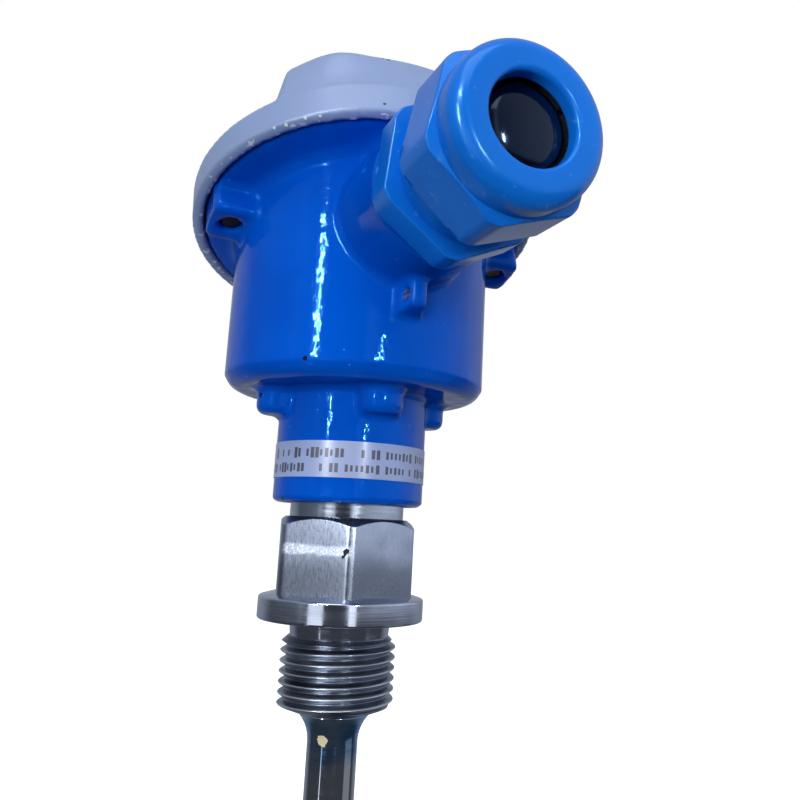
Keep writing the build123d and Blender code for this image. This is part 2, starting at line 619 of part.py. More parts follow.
# Claw ring: slotted collet that the dome nut closes on the sealing bush
with BuildPart() as claw_ring:
    with BuildSketch(gland_plane(CLAW_START)):
        Circle(GLAND_THREAD_RADIUS - CLAW_CLEARANCE)
        Circle(GLAND_BORE_RADIUS + CLAW_CLEARANCE, mode=Mode.SUBTRACT)
    extrude(amount=CLAW_LENGTH)
    with BuildSketch(gland_plane(CLAW_START + CLAW_LENGTH)):
        with PolarLocations((GLAND_BORE_RADIUS + GLAND_THREAD_RADIUS) / 2, CLAW_COUNT):
            Rectangle(GLAND_THREAD_RADIUS - GLAND_BORE_RADIUS + CLAW_SLOT, CLAW_SLOT)
    extrude(amount=-CLAW_LENGTH * CLAW_SLOT_SHARE, mode=Mode.SUBTRACT)
claw_ring.part.label = "gland_claw_ring"

gland_seal = gland_ring(PLUG_RADIUS, GLAND_BORE_RADIUS, SEAL_START, SEAL_START + SEAL_LENGTH)
gland_seal.label = "gland_seal"

# Dust plug with a domed head
with BuildPart() as gland_plug:
    with BuildSketch(gland_plane(PLUG_START)):
        Circle(PLUG_RADIUS)
    extrude(amount=PLUG_COLLAR_START - PLUG_START)
    with BuildSketch(gland_plane(PLUG_COLLAR_START)):
        Circle(PLUG_COLLAR_RADIUS)
    extrude(amount=PLUG_HEAD - PLUG_DOME - PLUG_COLLAR_START)
    with BuildSketch(Plane.YZ):
        with BuildLine():
            Line((-PLUG_HEAD, GLAND_HEIGHT), (-PLUG_HEAD + PLUG_DOME, GLAND_HEIGHT))
            dome_foot = -PLUG_HEAD + PLUG_DOME
            Line((dome_foot, GLAND_HEIGHT), (dome_foot, GLAND_HEIGHT + PLUG_COLLAR_RADIUS))
            RadiusArc(
                (-PLUG_HEAD + PLUG_DOME, GLAND_HEIGHT + PLUG_COLLAR_RADIUS),
                (-PLUG_HEAD, GLAND_HEIGHT),
                -(PLUG_COLLAR_RADIUS**2 + PLUG_DOME**2) / (2 * PLUG_DOME),
            )
        make_face()
    revolve(axis=gland_axis)
gland_plug.part.label = "gland_plug"

# Earth screw in the side of its boss
with BuildPart() as earth_screw:
    with BuildSketch(earth_plane(EARTH_SCREW_FACE)):
        Circle(EARTH_SCREW_RADIUS)
    extrude(amount=-EARTH_SCREW_LENGTH)
    with BuildSketch(earth_plane(EARTH_SCREW_FACE)):
        Rectangle(2 * EARTH_SCREW_RADIUS, SLOT_WIDTH / 2)
    extrude(amount=-SLOT_DEPTH / 2, mode=Mode.SUBTRACT)
earth_screw.part.label = "earth_screw"

# Printed label band round the neck
with BuildPart() as type_label:
    with BuildSketch(Plane.XY.offset(LABEL_BOTTOM)):
        Circle(NECK_RADIUS + LABEL_THICKNESS)
        Circle(NECK_RADIUS, mode=Mode.SUBTRACT)
    extrude(amount=LABEL_TOP - LABEL_BOTTOM)
type_label.part.label = "type_label"

# Measuring insert: plate and closed sheath
with BuildPart() as insert_plate:
    with BuildSketch(Plane.XY.offset(PILLAR_TOP)):
        Circle(PLATE_RADIUS)
        with Locations(*FIXING_PLACES):
            Circle(FIXING_RADIUS + FIXING_CLEARANCE, mode=Mode.SUBTRACT)
        Circle(SHEATH_RADIUS, mode=Mode.SUBTRACT)
    extrude(amount=PLATE_THICKNESS)
insert_plate.part.label = "insert_plate"

sheath_end = STEM_END + WELL_TIP_WALL + SHEATH_TIP_GAP
with BuildPart() as insert_sheath:
    with BuildSketch(Plane.XY.offset(sheath_end)):
        Circle(SHEATH_RADIUS)
    extrude(amount=PLATE_TOP - sheath_end)
    fillet(insert_sheath.edges().sort_by(Axis.Z)[0], radius=SHEATH_TIP_ROUND)
insert_sheath.part.label = "insert_sheath"


def fixing_screw(side, label):
    """Screw that holds the insert and the transmitter down on the floor's pillars."""
    with BuildPart() as screw:
        with BuildSketch(Plane.XY.offset(PILLAR_TOP - FIXING_DEPTH)):
            with Locations((side * FIXING_PITCH_RADIUS, 0)):
                Circle(FIXING_RADIUS)
        extrude(amount=FIXING_SEAT - PILLAR_TOP + FIXING_DEPTH)
        chamfer(screw.edges().sort_by(Axis.Z)[0], length=SCREW_POINT)
        with BuildSketch(Plane.XY.offset(FIXING_SEAT)):
            with Locations((side * FIXING_PITCH_RADIUS, 0)):
                Circle(FIXING_HEAD_RADIUS)
        extrude(amount=FIXING_HEAD_HEIGHT)
        chamfer(screw.edges().sort_by(Axis.Z)[-1], length=SCREW_HEAD_EDGE)
        with BuildSketch(Plane.XY.offset(FIXING_SEAT + FIXING_HEAD_HEIGHT)):
            with Locations((side * FIXING_PITCH_RADIUS, 0)):
                Rectangle(2 * FIXING_HEAD_RADIUS, SLOT_WIDTH)
        extrude(amount=-SLOT_DEPTH, mode=Mode.SUBTRACT)
    screw.part.label = label
    return screw.part


def fixing_spring(side, label):
    """Compression spring between the transmitter's shelf and the screw's head."""
    start = Vector(side * FIXING_PITCH_RADIUS, 0, SHELF_TOP + SPRING_WIRE)
    rise = SPRING_LENGTH - 2 * SPRING_WIRE
    with BuildPart() as spring:
        with BuildLine():
            coil = Helix(pitch=rise / SPRING_TURNS, height=rise, radius=SPRING_RADIUS, center=start)
        with BuildSketch(Plane(origin=coil @ 0, z_dir=coil % 0)):
            Circle(SPRING_WIRE)
        sweep(path=coil, is_frenet=True)
    spring.part.label = label
    return spring.part


fixing_screw_left = fixing_screw(-1, "insert_screw_left")
fixing_screw_right = fixing_screw(1, "insert_screw_right")
spring_left = fixing_spring(-1, "insert_spring_left")
spring_right = fixing_spring(1, "insert_spring_right")

# Head transmitter: round puck with a raised middle, a wire passage and two sprung ears
with BuildPart() as transmitter:
    with BuildSketch(Plane.XY.offset(PLATE_TOP)):
        Circle(PUCK_RADIUS)
    extrude(amount=PUCK_HEIGHT)
    fillet(transmitter.edges().sort_by(Axis.Z)[-1], radius=PUCK_EDGE)
    with BuildSketch(Plane.XY.offset(PUCK_TOP)):
        Circle(PUCK_TOWER_RADIUS)
    extrude(amount=PUCK_TOWER_HEIGHT)
    fillet(transmitter.edges().sort_by(Axis.Z)[-1], radius=PUCK_EDGE)
    with BuildSketch(Plane.XY.offset(SHELF_TOP)):
        with Locations(*FIXING_PLACES):
            Circle(PUCK_POCKET)
    extrude(amount=PUCK_HEIGHT + PUCK_TOWER_HEIGHT, mode=Mode.SUBTRACT)
    with BuildSketch(Plane.XY.offset(PLATE_TOP)):
        Circle(PUCK_BORE)
        with Locations(*FIXING_PLACES):
            Circle(FIXING_RADIUS + FIXING_CLEARANCE)
    extrude(amount=PUCK_HEIGHT + PUCK_TOWER_HEIGHT, mode=Mode.SUBTRACT)
    with BuildSketch(Plane.XY.offset(PUCK_TOP)):
        with Locations(*TERMINAL_PLACES):
            Circle(TERMINAL_SHANK_RADIUS)
    extrude(amount=-TERMINAL_DEPTH, mode=Mode.SUBTRACT)
transmitter.part.label = "transmitter"

# Terminal screws of the transmitter
with BuildPart() as terminal_screws:
    with BuildSketch(Plane.XY.offset(PUCK_TOP - TERMINAL_DEPTH)):
        with Locations(*TERMINAL_PLACES):
            Circle(TERMINAL_SHANK_RADIUS)
    extrude(amount=TERMINAL_DEPTH)
    with BuildSketch(Plane.XY.offset(PUCK_TOP)):
        with Locations(*TERMINAL_PLACES):
            Circle(TERMINAL_RADIUS)
    extrude(amount=TERMINAL_HEAD)
    with BuildSketch(Plane.XY.offset(PUCK_TOP + TERMINAL_HEAD)):
        with Locations(*TERMINAL_PLACES):
            Rectangle(2 * TERMINAL_RADIUS, SLOT_WIDTH / 2)
    extrude(amount=-TERMINAL_HEAD / 2, mode=Mode.SUBTRACT)
terminal_screws.part.label = "terminal_screws"

# Lead wires from the sheath up through the transmitter and down to three of its terminals
with BuildPart() as lead_wires:
    for number, angle in enumerate(WIRE_ANGLES):
        outward = Vector(cos(radians(angle)), sin(radians(angle)), 0)
        foot = outward * WIRE_FAN
        rise = Vector(0, 0, PUCK_TOP + PUCK_TOWER_HEIGHT + WIRE_ARCH)
        landing = Vector(0, 0, PUCK_TOP + TERMINAL_HEAD)
        with BuildLine():
            run = FilletPolyline(
                foot + Vector(0, 0, PLATE_TOP),
                foot + rise,
                outward * (TERMINAL_PITCH_RADIUS - TERMINAL_SETBACK) + rise,
                outward * (TERMINAL_PITCH_RADIUS - TERMINAL_SETBACK) + landing,
                radius=WIRE_BEND,
            )
        with BuildSketch(Plane(origin=run @ 0, z_dir=run % 0)):
            Circle(WIRE_RADIUS)
        sweep(path=run)
lead_wires.part.label = "lead_wires"

PIECES = (
    thermowell.part,
    housing.part,
    lid.part,
    lid_gasket.part,
    screw_left,
    screw_right,
    gland_body.part,
    gland_washer,
    gland_nut.part,
    claw_ring.part,
    gland_seal,
    gland_plug.part,
    earth_screw.part,
    type_label.part,
    insert_plate.part,
    insert_sheath.part,
    fixing_screw_left,
    fixing_screw_right,
    spring_left,
    spring_right,
    transmitter.part,
    terminal_screws.part,
    lead_wires.part,
)
for piece in PIECES:
    export_step(piece, f"parts/{piece.label}.step")
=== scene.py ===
"""Screw-in resistance thermometer with its connection head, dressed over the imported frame."""

import logging
import math
from dataclasses import dataclass, field
from enum import Enum
from typing import Any, Sequence

import bmesh
import bpy
import numpy as np
from mathutils import Matrix, Vector


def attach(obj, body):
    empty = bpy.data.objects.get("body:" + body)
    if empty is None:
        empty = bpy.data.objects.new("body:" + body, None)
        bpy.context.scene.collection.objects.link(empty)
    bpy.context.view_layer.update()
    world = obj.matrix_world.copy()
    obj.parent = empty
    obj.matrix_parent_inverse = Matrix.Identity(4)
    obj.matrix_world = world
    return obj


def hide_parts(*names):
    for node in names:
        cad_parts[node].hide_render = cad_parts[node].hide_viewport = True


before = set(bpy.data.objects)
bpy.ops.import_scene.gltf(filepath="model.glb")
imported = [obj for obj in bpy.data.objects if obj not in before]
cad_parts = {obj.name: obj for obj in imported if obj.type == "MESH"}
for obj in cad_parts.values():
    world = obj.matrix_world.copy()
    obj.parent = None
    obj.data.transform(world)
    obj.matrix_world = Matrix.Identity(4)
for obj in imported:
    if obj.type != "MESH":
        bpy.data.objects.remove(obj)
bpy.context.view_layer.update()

MM = 0.001
WELD = 0.000004
SLIVER = 0.000001
VECTOR = "NodeSocketVector"
FLOAT = "NodeSocketFloat"
COLOUR = "NodeSocketColor"
MATERIAL = "NodeSocketMaterial"
GEOMETRY = "NodeSocketGeometry"
CREASE = 32.0
SEAT_NORMAL = (0.0, 0.312335, 0.949972)

Rgb = tuple[float, float, float]
Point = tuple[float, float, float]
log = logging.getLogger("thermometer")


class Slot(str, Enum):
    """Material slots of the record."""

    BLUE_COATING = "blue_coating"
    GREY_COATING = "grey_coating"
    STEEL = "steel"
    ZINC_STEEL = "zinc_steel"
    GLAND_PLASTIC = "gland_plastic"
    BLACK_PLASTIC = "black_plastic"
    RUBBER = "rubber"
    SILICONE = "silicone"
    LABEL_FILM = "label_film"
    MODULE_PLASTIC = "module_plastic"
    BRASS = "brass"
    WIRE_SLEEVE = "wire_sleeve"


class Body(str, Enum):
    """Bodies of the frame that pieces ride on."""

    ROOT = "root"
    INSERT = "insert"
    LID = "lid"
    SCREW_LEFT = "lid_screw_left"
    SCREW_RIGHT = "lid_screw_right"
    GLAND_CLAMP = "gland_clamp"
    GLAND_NUT = "gland_nut"
    EARTH_SCREW = "earth_screw"


# Node helpers


def opaque(colour: Sequence[float], strength: float = 1.0) -> tuple[float, float, float, float]:
    """Scales a colour and adds full alpha."""
    return (*(strength * part for part in colour), 1.0)


class Graph:
    """Adds and wires the nodes of one tree."""

    def __init__(self, tree: bpy.types.NodeTree) -> None:
        """Keeps the tree to build in."""
        self.tree = tree

    def feed(self, socket: bpy.types.NodeSocket, value: Any) -> None:
        """Links an output to an input, or sets the input's own value.

        Args:
            socket: The input.
            value: An output socket or a plain value.
        """
        if isinstance(value, bpy.types.NodeSocket):
            self.tree.links.new(value, socket)
        else:
            socket.default_value = value

    def add(self, kind: str, settings: dict[str, Any] | None = None, **inputs: Any) -> bpy.types.Node:
        """Adds a node, sets its properties and feeds its inputs.

        Args:
            kind: Node type's identifier.
            settings: Properties by name.
            inputs: Values or output sockets by input name, or by "i" and the input's number.

        Returns:
            The new node.
        """
        node = self.tree.nodes.new(kind)
        for key, value in (settings or {}).items():
            setattr(node, key, value)
        for key, value in inputs.items():
            numbered = key[0] == "i" and key[1:].isdigit()
            self.feed(node.inputs[int(key[1:]) if numbered else key.replace("_", " ")], value)
        return node

    def math(self, operation: str, *values: Any, clamp: bool = False) -> bpy.types.NodeSocket:
        """Adds a maths node and returns its result."""
        inputs = {f"i{number}": value for number, value in enumerate(values)}
        return self.add("ShaderNodeMath", {"operation": operation, "use_clamp": clamp}, **inputs).outputs[0]

    def times(self, first: Any, second: Any) -> bpy.types.NodeSocket:
        """Product of two values."""
        return self.math("MULTIPLY", first, second)

    def plus(self, first: Any, second: Any) -> bpy.types.NodeSocket:
        """Sum of two values."""
        return self.math("ADD", first, second)

    def minus(self, first: Any, second: Any) -> bpy.types.NodeSocket:
        """Difference of two values."""
        return self.math("SUBTRACT", first, second)

    def line(self, value: Any, slope: Any, start: Any, clamp: bool = False) -> bpy.types.NodeSocket:
        """Value times slope, plus start."""
        return self.math("MULTIPLY_ADD", value, slope, start, clamp=clamp)

    def below(self, value: Any, limit: Any) -> bpy.types.NodeSocket:
        """One where the value is under the limit, else nought."""
        return self.math("LESS_THAN", value, limit)

    def above(self, value: Any, limit: Any) -> bpy.types.NodeSocket:
        """One where the value is over the limit, else nought."""
        return self.math("GREATER_THAN", value, limit)

    def size(self, value: Any) -> bpy.types.NodeSocket:
        """Value without its sign."""
        return self.math("ABSOLUTE", value)

    def vector(self, operation: str, *values: Any) -> bpy.types.Node:
        """Adds a vector maths node."""
        inputs = {f"i{number}": value for number, value in enumerate(values)}
        return self.add("ShaderNodeVectorMath", {"operation": operation}, **inputs)

    def along(self, place: bpy.types.NodeSocket, axis: Sequence[float]) -> bpy.types.NodeSocket:
        """Distance of a place along an axis."""
        return self.vector("DOT_PRODUCT", place, tuple(axis)).outputs["Value"]

    def split(self, value: bpy.types.NodeSocket) -> Sequence[bpy.types.NodeSocket]:
        """The three parts of a vector."""
        return self.add("ShaderNodeSeparateXYZ", Vector=value).outputs

    def joined(self, x: Any, y: Any, z: Any) -> bpy.types.NodeSocket:
        """Vector of three values."""
        return self.add("ShaderNodeCombineXYZ", X=x, Y=y, Z=z).outputs[0]

    def ramp(self, value: bpy.types.NodeSocket, low: float, high: float) -> bpy.types.NodeSocket:
        """Maps low to high smoothly onto 0 to 1."""
        smooth = {"interpolation_type": "SMOOTHSTEP"}
        return self.add("ShaderNodeMapRange", smooth, Value=value, From_Min=low, From_Max=high).outputs[0]

    def mix(self, factor: Any, low: Any, high: Any) -> bpy.types.NodeSocket:
        """Mixes two colours."""
        return self.add("ShaderNodeMix", {"data_type": "RGBA"}, i0=factor, i6=low, i7=high).outputs[2]

    def between(self, factor: Any, low: Any, high: Any) -> bpy.types.NodeSocket:
        """Mixes two values."""
        return self.add("ShaderNodeMix", {"data_type": "FLOAT"}, i0=factor, i2=low, i3=high).outputs[0]

    def noise(
        self, place: bpy.types.NodeSocket, scale: Any, detail: float = 2.0, distortion: float = 0.0,
    ) -> bpy.types.NodeSocket:
        """Adds a noise texture and returns its value."""
        inputs = {"Vector": place, "Scale": scale, "Detail": detail, "Distortion": distortion}
        return self.add("ShaderNodeTexNoise", **inputs).outputs[0]

    def group(self, tree: bpy.types.NodeTree, **inputs: Any) -> bpy.types.Node:
        """Places a shared group and feeds its inputs by name."""
        return self.add("ShaderNodeGroup", {"node_tree": tree}, **inputs)


class GroupGraph(Graph):
    """Node group in the making, with named inputs and outputs."""

    def __init__(
        self, name: str, inputs: Sequence[tuple[str, str, Any]], outputs: Sequence[tuple[str, str]],
        kind: str = "ShaderNodeTree",
    ) -> None:
        """Starts the group with its sockets.

        Args:
            name: The group's name.
            inputs: Name, socket type and first value of each input.
            outputs: Name and socket type of each output.
            kind: The tree's type.
        """
        super().__init__(bpy.data.node_groups.new(name, kind))
        for label, socket_type, value in inputs:
            socket = self.tree.interface.new_socket(name=label, in_out="INPUT", socket_type=socket_type)
            if value is not None:
                socket.default_value = value
        for label, socket_type in outputs:
            self.tree.interface.new_socket(name=label, in_out="OUTPUT", socket_type=socket_type)
        self.given = list(self.tree.nodes.new("NodeGroupInput").outputs)[:len(inputs)]
        self._end = self.tree.nodes.new("NodeGroupOutput")

    def give(self, *results: bpy.types.NodeSocket) -> bpy.types.NodeTree:
        """Feeds the group's outputs in order.

        Args:
            results: One socket for each output.

        Returns:
            The finished tree.
        """
        for result, socket in zip(results, self._end.inputs):
            self.tree.links.new(result, socket)
        return self.tree


class SharedEffects:
    """Shader groups that several finishes use."""

    def __init__(self) -> None:
        """Builds every group once."""
        self.peel = self._peel()
        self.specks = self._specks()
        self.drift = self._drift()
        self.turning = self._turning()
        self.spot = self._spot()

    @staticmethod
    def _peel() -> bpy.types.NodeTree:
        """Builds the orange peel of a thick coating: fine dimples over slow waves.

        Returns:
            The group.
        """
        inputs = [
            ("Place", VECTOR, None), ("Dimple Scale", FLOAT, 900.0), ("Wave Scale", FLOAT, 180.0),
            ("Wave Share", FLOAT, 0.6),
        ]
        graph = GroupGraph("orange_peel", inputs, [("Height", FLOAT)])
        place, dimple_scale, wave_scale, wave_share = graph.given
        dimples = graph.noise(place, dimple_scale, detail=1.0)
        waves = graph.noise(place, wave_scale, detail=0.0)
        return graph.give(graph.between(wave_share, dimples, waves))

    @staticmethod
    def _specks() -> bpy.types.NodeTree:
        """Builds scattered specks: dust, pores and chips.

        Returns:
            The group.
        """
        inputs = [
            ("Place", VECTOR, None), ("Scale", FLOAT, 400.0), ("Size", FLOAT, 0.2), ("Share", FLOAT, 0.3),
        ]
        graph = GroupGraph("specks", inputs, [("Mask", FLOAT)])
        place, scale, size, share = graph.given
        cells = graph.add("ShaderNodeTexVoronoi", Vector=place, Scale=scale)
        near = graph.below(cells.outputs["Distance"], size)
        draw = graph.add("ShaderNodeSeparateColor", Color=cells.outputs["Color"]).outputs[0]
        return graph.give(graph.times(near, graph.below(draw, share)))

    @staticmethod
    def _drift() -> bpy.types.NodeTree:
        """Builds a slow change between two colours over a surface.

        Returns:
            The group.
        """
        inputs = [
            ("Place", VECTOR, None), ("Scale", FLOAT, 60.0), ("First", COLOUR, (1, 1, 1, 1)),
            ("Second", COLOUR, (0.5, 0.5, 0.5, 1)),
        ]
        graph = GroupGraph("colour_drift", inputs, [("Color", COLOUR), ("Value", FLOAT)])
        place, scale, first, second = graph.given
        slow = graph.ramp(graph.noise(place, scale, detail=3.0), 0.3, 0.7)
        return graph.give(graph.mix(slow, first, second), slow)

    @staticmethod
    def _turning() -> bpy.types.NodeTree:
        """Builds the fine lines that a lathe leaves round the probe's axis.

        Returns:
            The group.
        """
        inputs = [("Place", VECTOR, None), ("Pitch Scale", FLOAT, 3000.0)]
        graph = GroupGraph("turning_lines", inputs, [("Height", FLOAT)])
        place, pitch_scale = graph.given
        stretch = 0.02
        x, y, z = graph.split(place)
        squashed = graph.joined(graph.times(x, stretch), graph.times(y, stretch), z)
        return graph.give(graph.noise(squashed, pitch_scale))

    @staticmethod
    def _spot() -> bpy.types.NodeTree:
        """Builds one ragged spot at a place on the surface.

        Returns:
            The group.
        """
        inputs = [
            ("Place", VECTOR, None), ("Centre", VECTOR, (0, 0, 0)), ("Radius", FLOAT, 0.001),
            ("Ragged Scale", FLOAT, 1500.0),
        ]
        graph = GroupGraph("spot", inputs, [("Mask", FLOAT)])
        place, centre, radius, ragged_scale = graph.given
        away = graph.vector("DISTANCE", place, centre).outputs["Value"]
        ragged = graph.line(graph.noise(place, ragged_scale), 1.4, 0.3)
        return graph.give(graph.below(away, graph.times(radius, ragged)))


# Finishes


@dataclass(frozen=True)
class Spot:
    """Mark at one place: centre and radius in mm."""

    centre: Point
    radius: float


@dataclass(frozen=True)
class WornEdge:
    """Worn line round a casting: normal and height of its plane, and half its width, in mm."""

    normal: Point
    height: float
    half_width: float


class Finish:
    """Material in the making: its shader, its graph and Object coordinates."""

    def __init__(self, name: str, effects: SharedEffects | None = None) -> None:
        """Makes the material.

        Args:
            name: The material's name.
            effects: The shared groups, where the finish uses them.
        """
        self.effects = effects
        self.material = bpy.data.materials.new(name)
        self.material.use_nodes = True
        self.graph = Graph(self.material.node_tree)
        self.shader = self.material.node_tree.nodes["Principled BSDF"]
        self.place = self.graph.add("ShaderNodeTexCoord").outputs["Object"]

    def set(self, **values: Any) -> None:
        """Sets or feeds the shader's inputs by name."""
        for key, value in values.items():
            self.graph.feed(self.shader.inputs[key.replace("_", " ")], value)

    def bump(
        self, height: bpy.types.NodeSocket, strength: float, depth: float, normal: Any = None,
    ) -> bpy.types.NodeSocket:
        """Adds a bump node.

        Args:
            height: Height of the relief, 0 to 1.
            strength: Strength of the bump.
            depth: Depth of the relief in metres.
            normal: Normal of the relief under it.

        Returns:
            The new normal.
        """
        node = self.graph.add("ShaderNodeBump", Strength=strength, Distance=depth, Height=height)
        if normal is not None:
            self.graph.tree.links.new(normal, node.inputs["Normal"])
        return node.outputs[0]

    def stretched(self, x: float, y: float, z: float) -> bpy.types.NodeSocket:
        """Object coordinates scaled apart along the axes."""
        return self.graph.add("ShaderNodeMapping", Vector=self.place, Scale=(x, y, z)).outputs[0]

    def drift(
        self, scale: float, first: Rgb, second: Rgb, place: bpy.types.NodeSocket | None = None,
    ) -> Sequence[bpy.types.NodeSocket]:
        """Slow change between two colours: the colour and its value."""
        colours = {"First": opaque(first), "Second": opaque(second)}
        return self.graph.group(self.effects.drift, Place=place or self.place, Scale=scale, **colours).outputs

    def specks(self, scale: float, size: float, share: float) -> bpy.types.NodeSocket:
        """Mask of scattered specks."""
        inputs = {"Place": self.place, "Scale": scale, "Size": size, "Share": share}
        return self.graph.group(self.effects.specks, **inputs).outputs[0]

    def over(
        self, mask: bpy.types.NodeSocket, colour: bpy.types.NodeSocket, top: Rgb,
        strength: float | None = None,
    ) -> bpy.types.NodeSocket:
        """Lays a plain colour over another where a mask is, at a share of its strength."""
        share = mask if strength is None else self.graph.times(mask, strength)
        return self.graph.mix(share, colour, opaque(top))

    def spots(self, marks: Sequence[Spot]) -> bpy.types.NodeSocket | None:
        """Joins the masks of several spots.

        Args:
            marks: The spots.

        Returns:
            Their mask, or None where there are none.
        """
        mask = None
        for mark in marks:
            centre = tuple(value * MM for value in mark.centre)
            inputs = {"Place": self.place, "Centre": centre, "Radius": mark.radius * MM}
            spot = self.graph.group(self.effects.spot, **inputs).outputs[0]
            mask = spot if mask is None else self.graph.math("MAXIMUM", mask, spot)
        return mask

    def marked(
        self, marks: Sequence[Spot], colour: bpy.types.NodeSocket, top: Rgb, strength: float | None = None,
    ) -> bpy.types.NodeSocket:
        """Lays spots of a plain colour over another colour, where there are any."""
        mask = self.spots(marks)
        return colour if mask is None else self.over(mask, colour, top, strength)


@dataclass(frozen=True)
class Recipe:
    """Start of every finish, which its own kind dresses."""

    name: str

    def build(self, effects: SharedEffects) -> bpy.types.Material:
        """Makes the material.

        Args:
            effects: The shared groups.

        Returns:
            The dressed material.
        """
        finish = Finish(self.name, effects)
        self._dress(finish)
        return finish.material

    def _dress(self, finish: Finish) -> None:
        """Wires the shader of this kind of finish."""
        raise NotImplementedError(finish.material.name)


@dataclass(frozen=True)
class PowderCoat(Recipe):
    """Thick glossy powder coating with orange peel, dust, pores and small chips."""

    colour: Rgb
    shade: Rgb
    chip: Rgb
    dirt: Rgb = (0.01, 0.012, 0.03)
    sheen: Rgb = (0.35, 0.6, 1.0)
    specular: float = 0.5
    roughness: float = 0.07
    peel: float = 0.8
    peel_depth: float = 0.00014
    dimple_scale: float = 1100.0
    wave_scale: float = 300.0
    wave_share: float = 0.72
    drift_scale: float = 70.0
    dust_scale: float = 900.0
    dust_size: float = 0.16
    dust_share: float = 0.03
    chip_scale: float = 620.0
    marks: tuple[Spot, ...] = ()
    dark_marks: tuple[Spot, ...] = ()
    edge: WornEdge | None = None

    def _dress(self, finish: Finish) -> None:
        """Wires the coating.

        Args:
            finish: The material in the making.
        """
        graph = finish.graph
        colour, cloud = finish.drift(self.drift_scale, self.colour, self.shade)
        dust = finish.specks(self.dust_scale, self.dust_size, self.dust_share)
        colour = finish.over(dust, colour, self.chip, 0.35)
        colour = finish.marked(self.marks, colour, self.chip)
        if self.edge is not None:
            colour = finish.over(self._worn(finish, self.edge), colour, self.chip, 0.7)
        colour = finish.marked(self.dark_marks, colour, self.dirt)
        waves = {"Wave_Scale": self.wave_scale, "Wave_Share": self.wave_share}
        relief = {"Place": finish.place, "Dimple_Scale": self.dimple_scale, **waves}
        peel = graph.group(finish.effects.peel, **relief).outputs[0]
        height = graph.minus(peel, graph.times(dust, 0.15))
        rough = graph.between(cloud, self.roughness * 0.9, self.roughness * 1.15)
        normal = finish.bump(height, self.peel, self.peel_depth)
        finish.set(Base_Color=colour, Roughness=rough, Normal=normal)
        finish.set(Specular_Tint=opaque(self.sheen), Specular_IOR_Level=self.specular)

    def _worn(self, finish: Finish, edge: WornEdge) -> bpy.types.NodeSocket:
        """Masks the chips along a worn edge.

        Args:
            finish: The material in the making.
            edge: The edge.

        Returns:
            The mask.
        """
        graph = finish.graph
        near = graph.size(graph.minus(graph.along(finish.place, edge.normal), edge.height * MM))
        ragged = graph.ramp(graph.noise(finish.place, self.chip_scale, detail=5.0), 0.56, 0.8)
        return graph.below(near, graph.times(ragged, edge.half_width * MM))


@dataclass(frozen=True)
class TurnedSteel(Recipe):
    """Stainless steel off the lathe, with fine lines round the axis and a bluish tarnish; on the stem's upper
    part the blue is a painted reflection.
    """

    colour: Rgb
    tarnish_and_reflection: Rgb
    roughness: float
    plain: Rgb = (0.5, 0.53, 0.59)
    crest: Rgb = (0.5, 0.53, 0.6)
    mark_colour: Rgb = (0.03, 0.03, 0.035)
    line_depth: float = 0.000012
    line_scale: float = 2600.0
    drift_scale: float = 120.0
    crest_radius: float | None = None
    painted_reflection_end: float | None = None
    marks: tuple[Spot, ...] = ()

    def _dress(self, finish: Finish) -> None:
        """Wires the turned steel; a painted blue reflection on the stem fades out downwards towards its end.

        Args:
            finish: The material in the making.
        """
        graph = finish.graph
        colour, _ = finish.drift(self.drift_scale, self.colour, self.tarnish_and_reflection, finish.stretched(1, 1, 2.5))
        turning = {"Place": finish.place, "Pitch_Scale": self.line_scale}
        lines = graph.group(finish.effects.turning, **turning).outputs[0]
        colour = finish.over(graph.ramp(lines, 0.5, 0.75), colour, self.tarnish_and_reflection, 0.35)
        # Painted reflection: blue tint above the end, plain steel below it.
        if self.painted_reflection_end is not None:
            level = graph.split(finish.place)[2]
            cloud = graph.line(graph.noise(finish.place, 140.0, detail=3.0), 0.008, level)
            fade = graph.ramp(cloud, (self.painted_reflection_end + 7) * MM, (self.painted_reflection_end + 1) * MM)
            colour = finish.over(fade, colour, self.plain)
        # Lighter thread crests: partly real wear, partly a painted highlight.
        if self.crest_radius is not None:
            flat = graph.vector("MULTIPLY", finish.place, (1, 1, 0)).outputs[0]
            away = graph.vector("LENGTH", flat).outputs["Value"]
            rubbed = graph.ramp(away, (self.crest_radius - 0.2) * MM, self.crest_radius * MM)
            colour = finish.over(rubbed, colour, self.crest)
        marks = finish.spots(self.marks)
        if marks is not None:
            colour = finish.over(marks, colour, self.mark_colour)
        finish.set(Metallic=1.0 if marks is None else graph.minus(1.0, marks))
        rough = graph.between(graph.ramp(lines, 0.3, 0.7), self.roughness * 0.7, self.roughness * 1.5)
        finish.set(Base_Color=colour, Roughness=rough, Normal=finish.bump(lines, 0.6, self.line_depth))


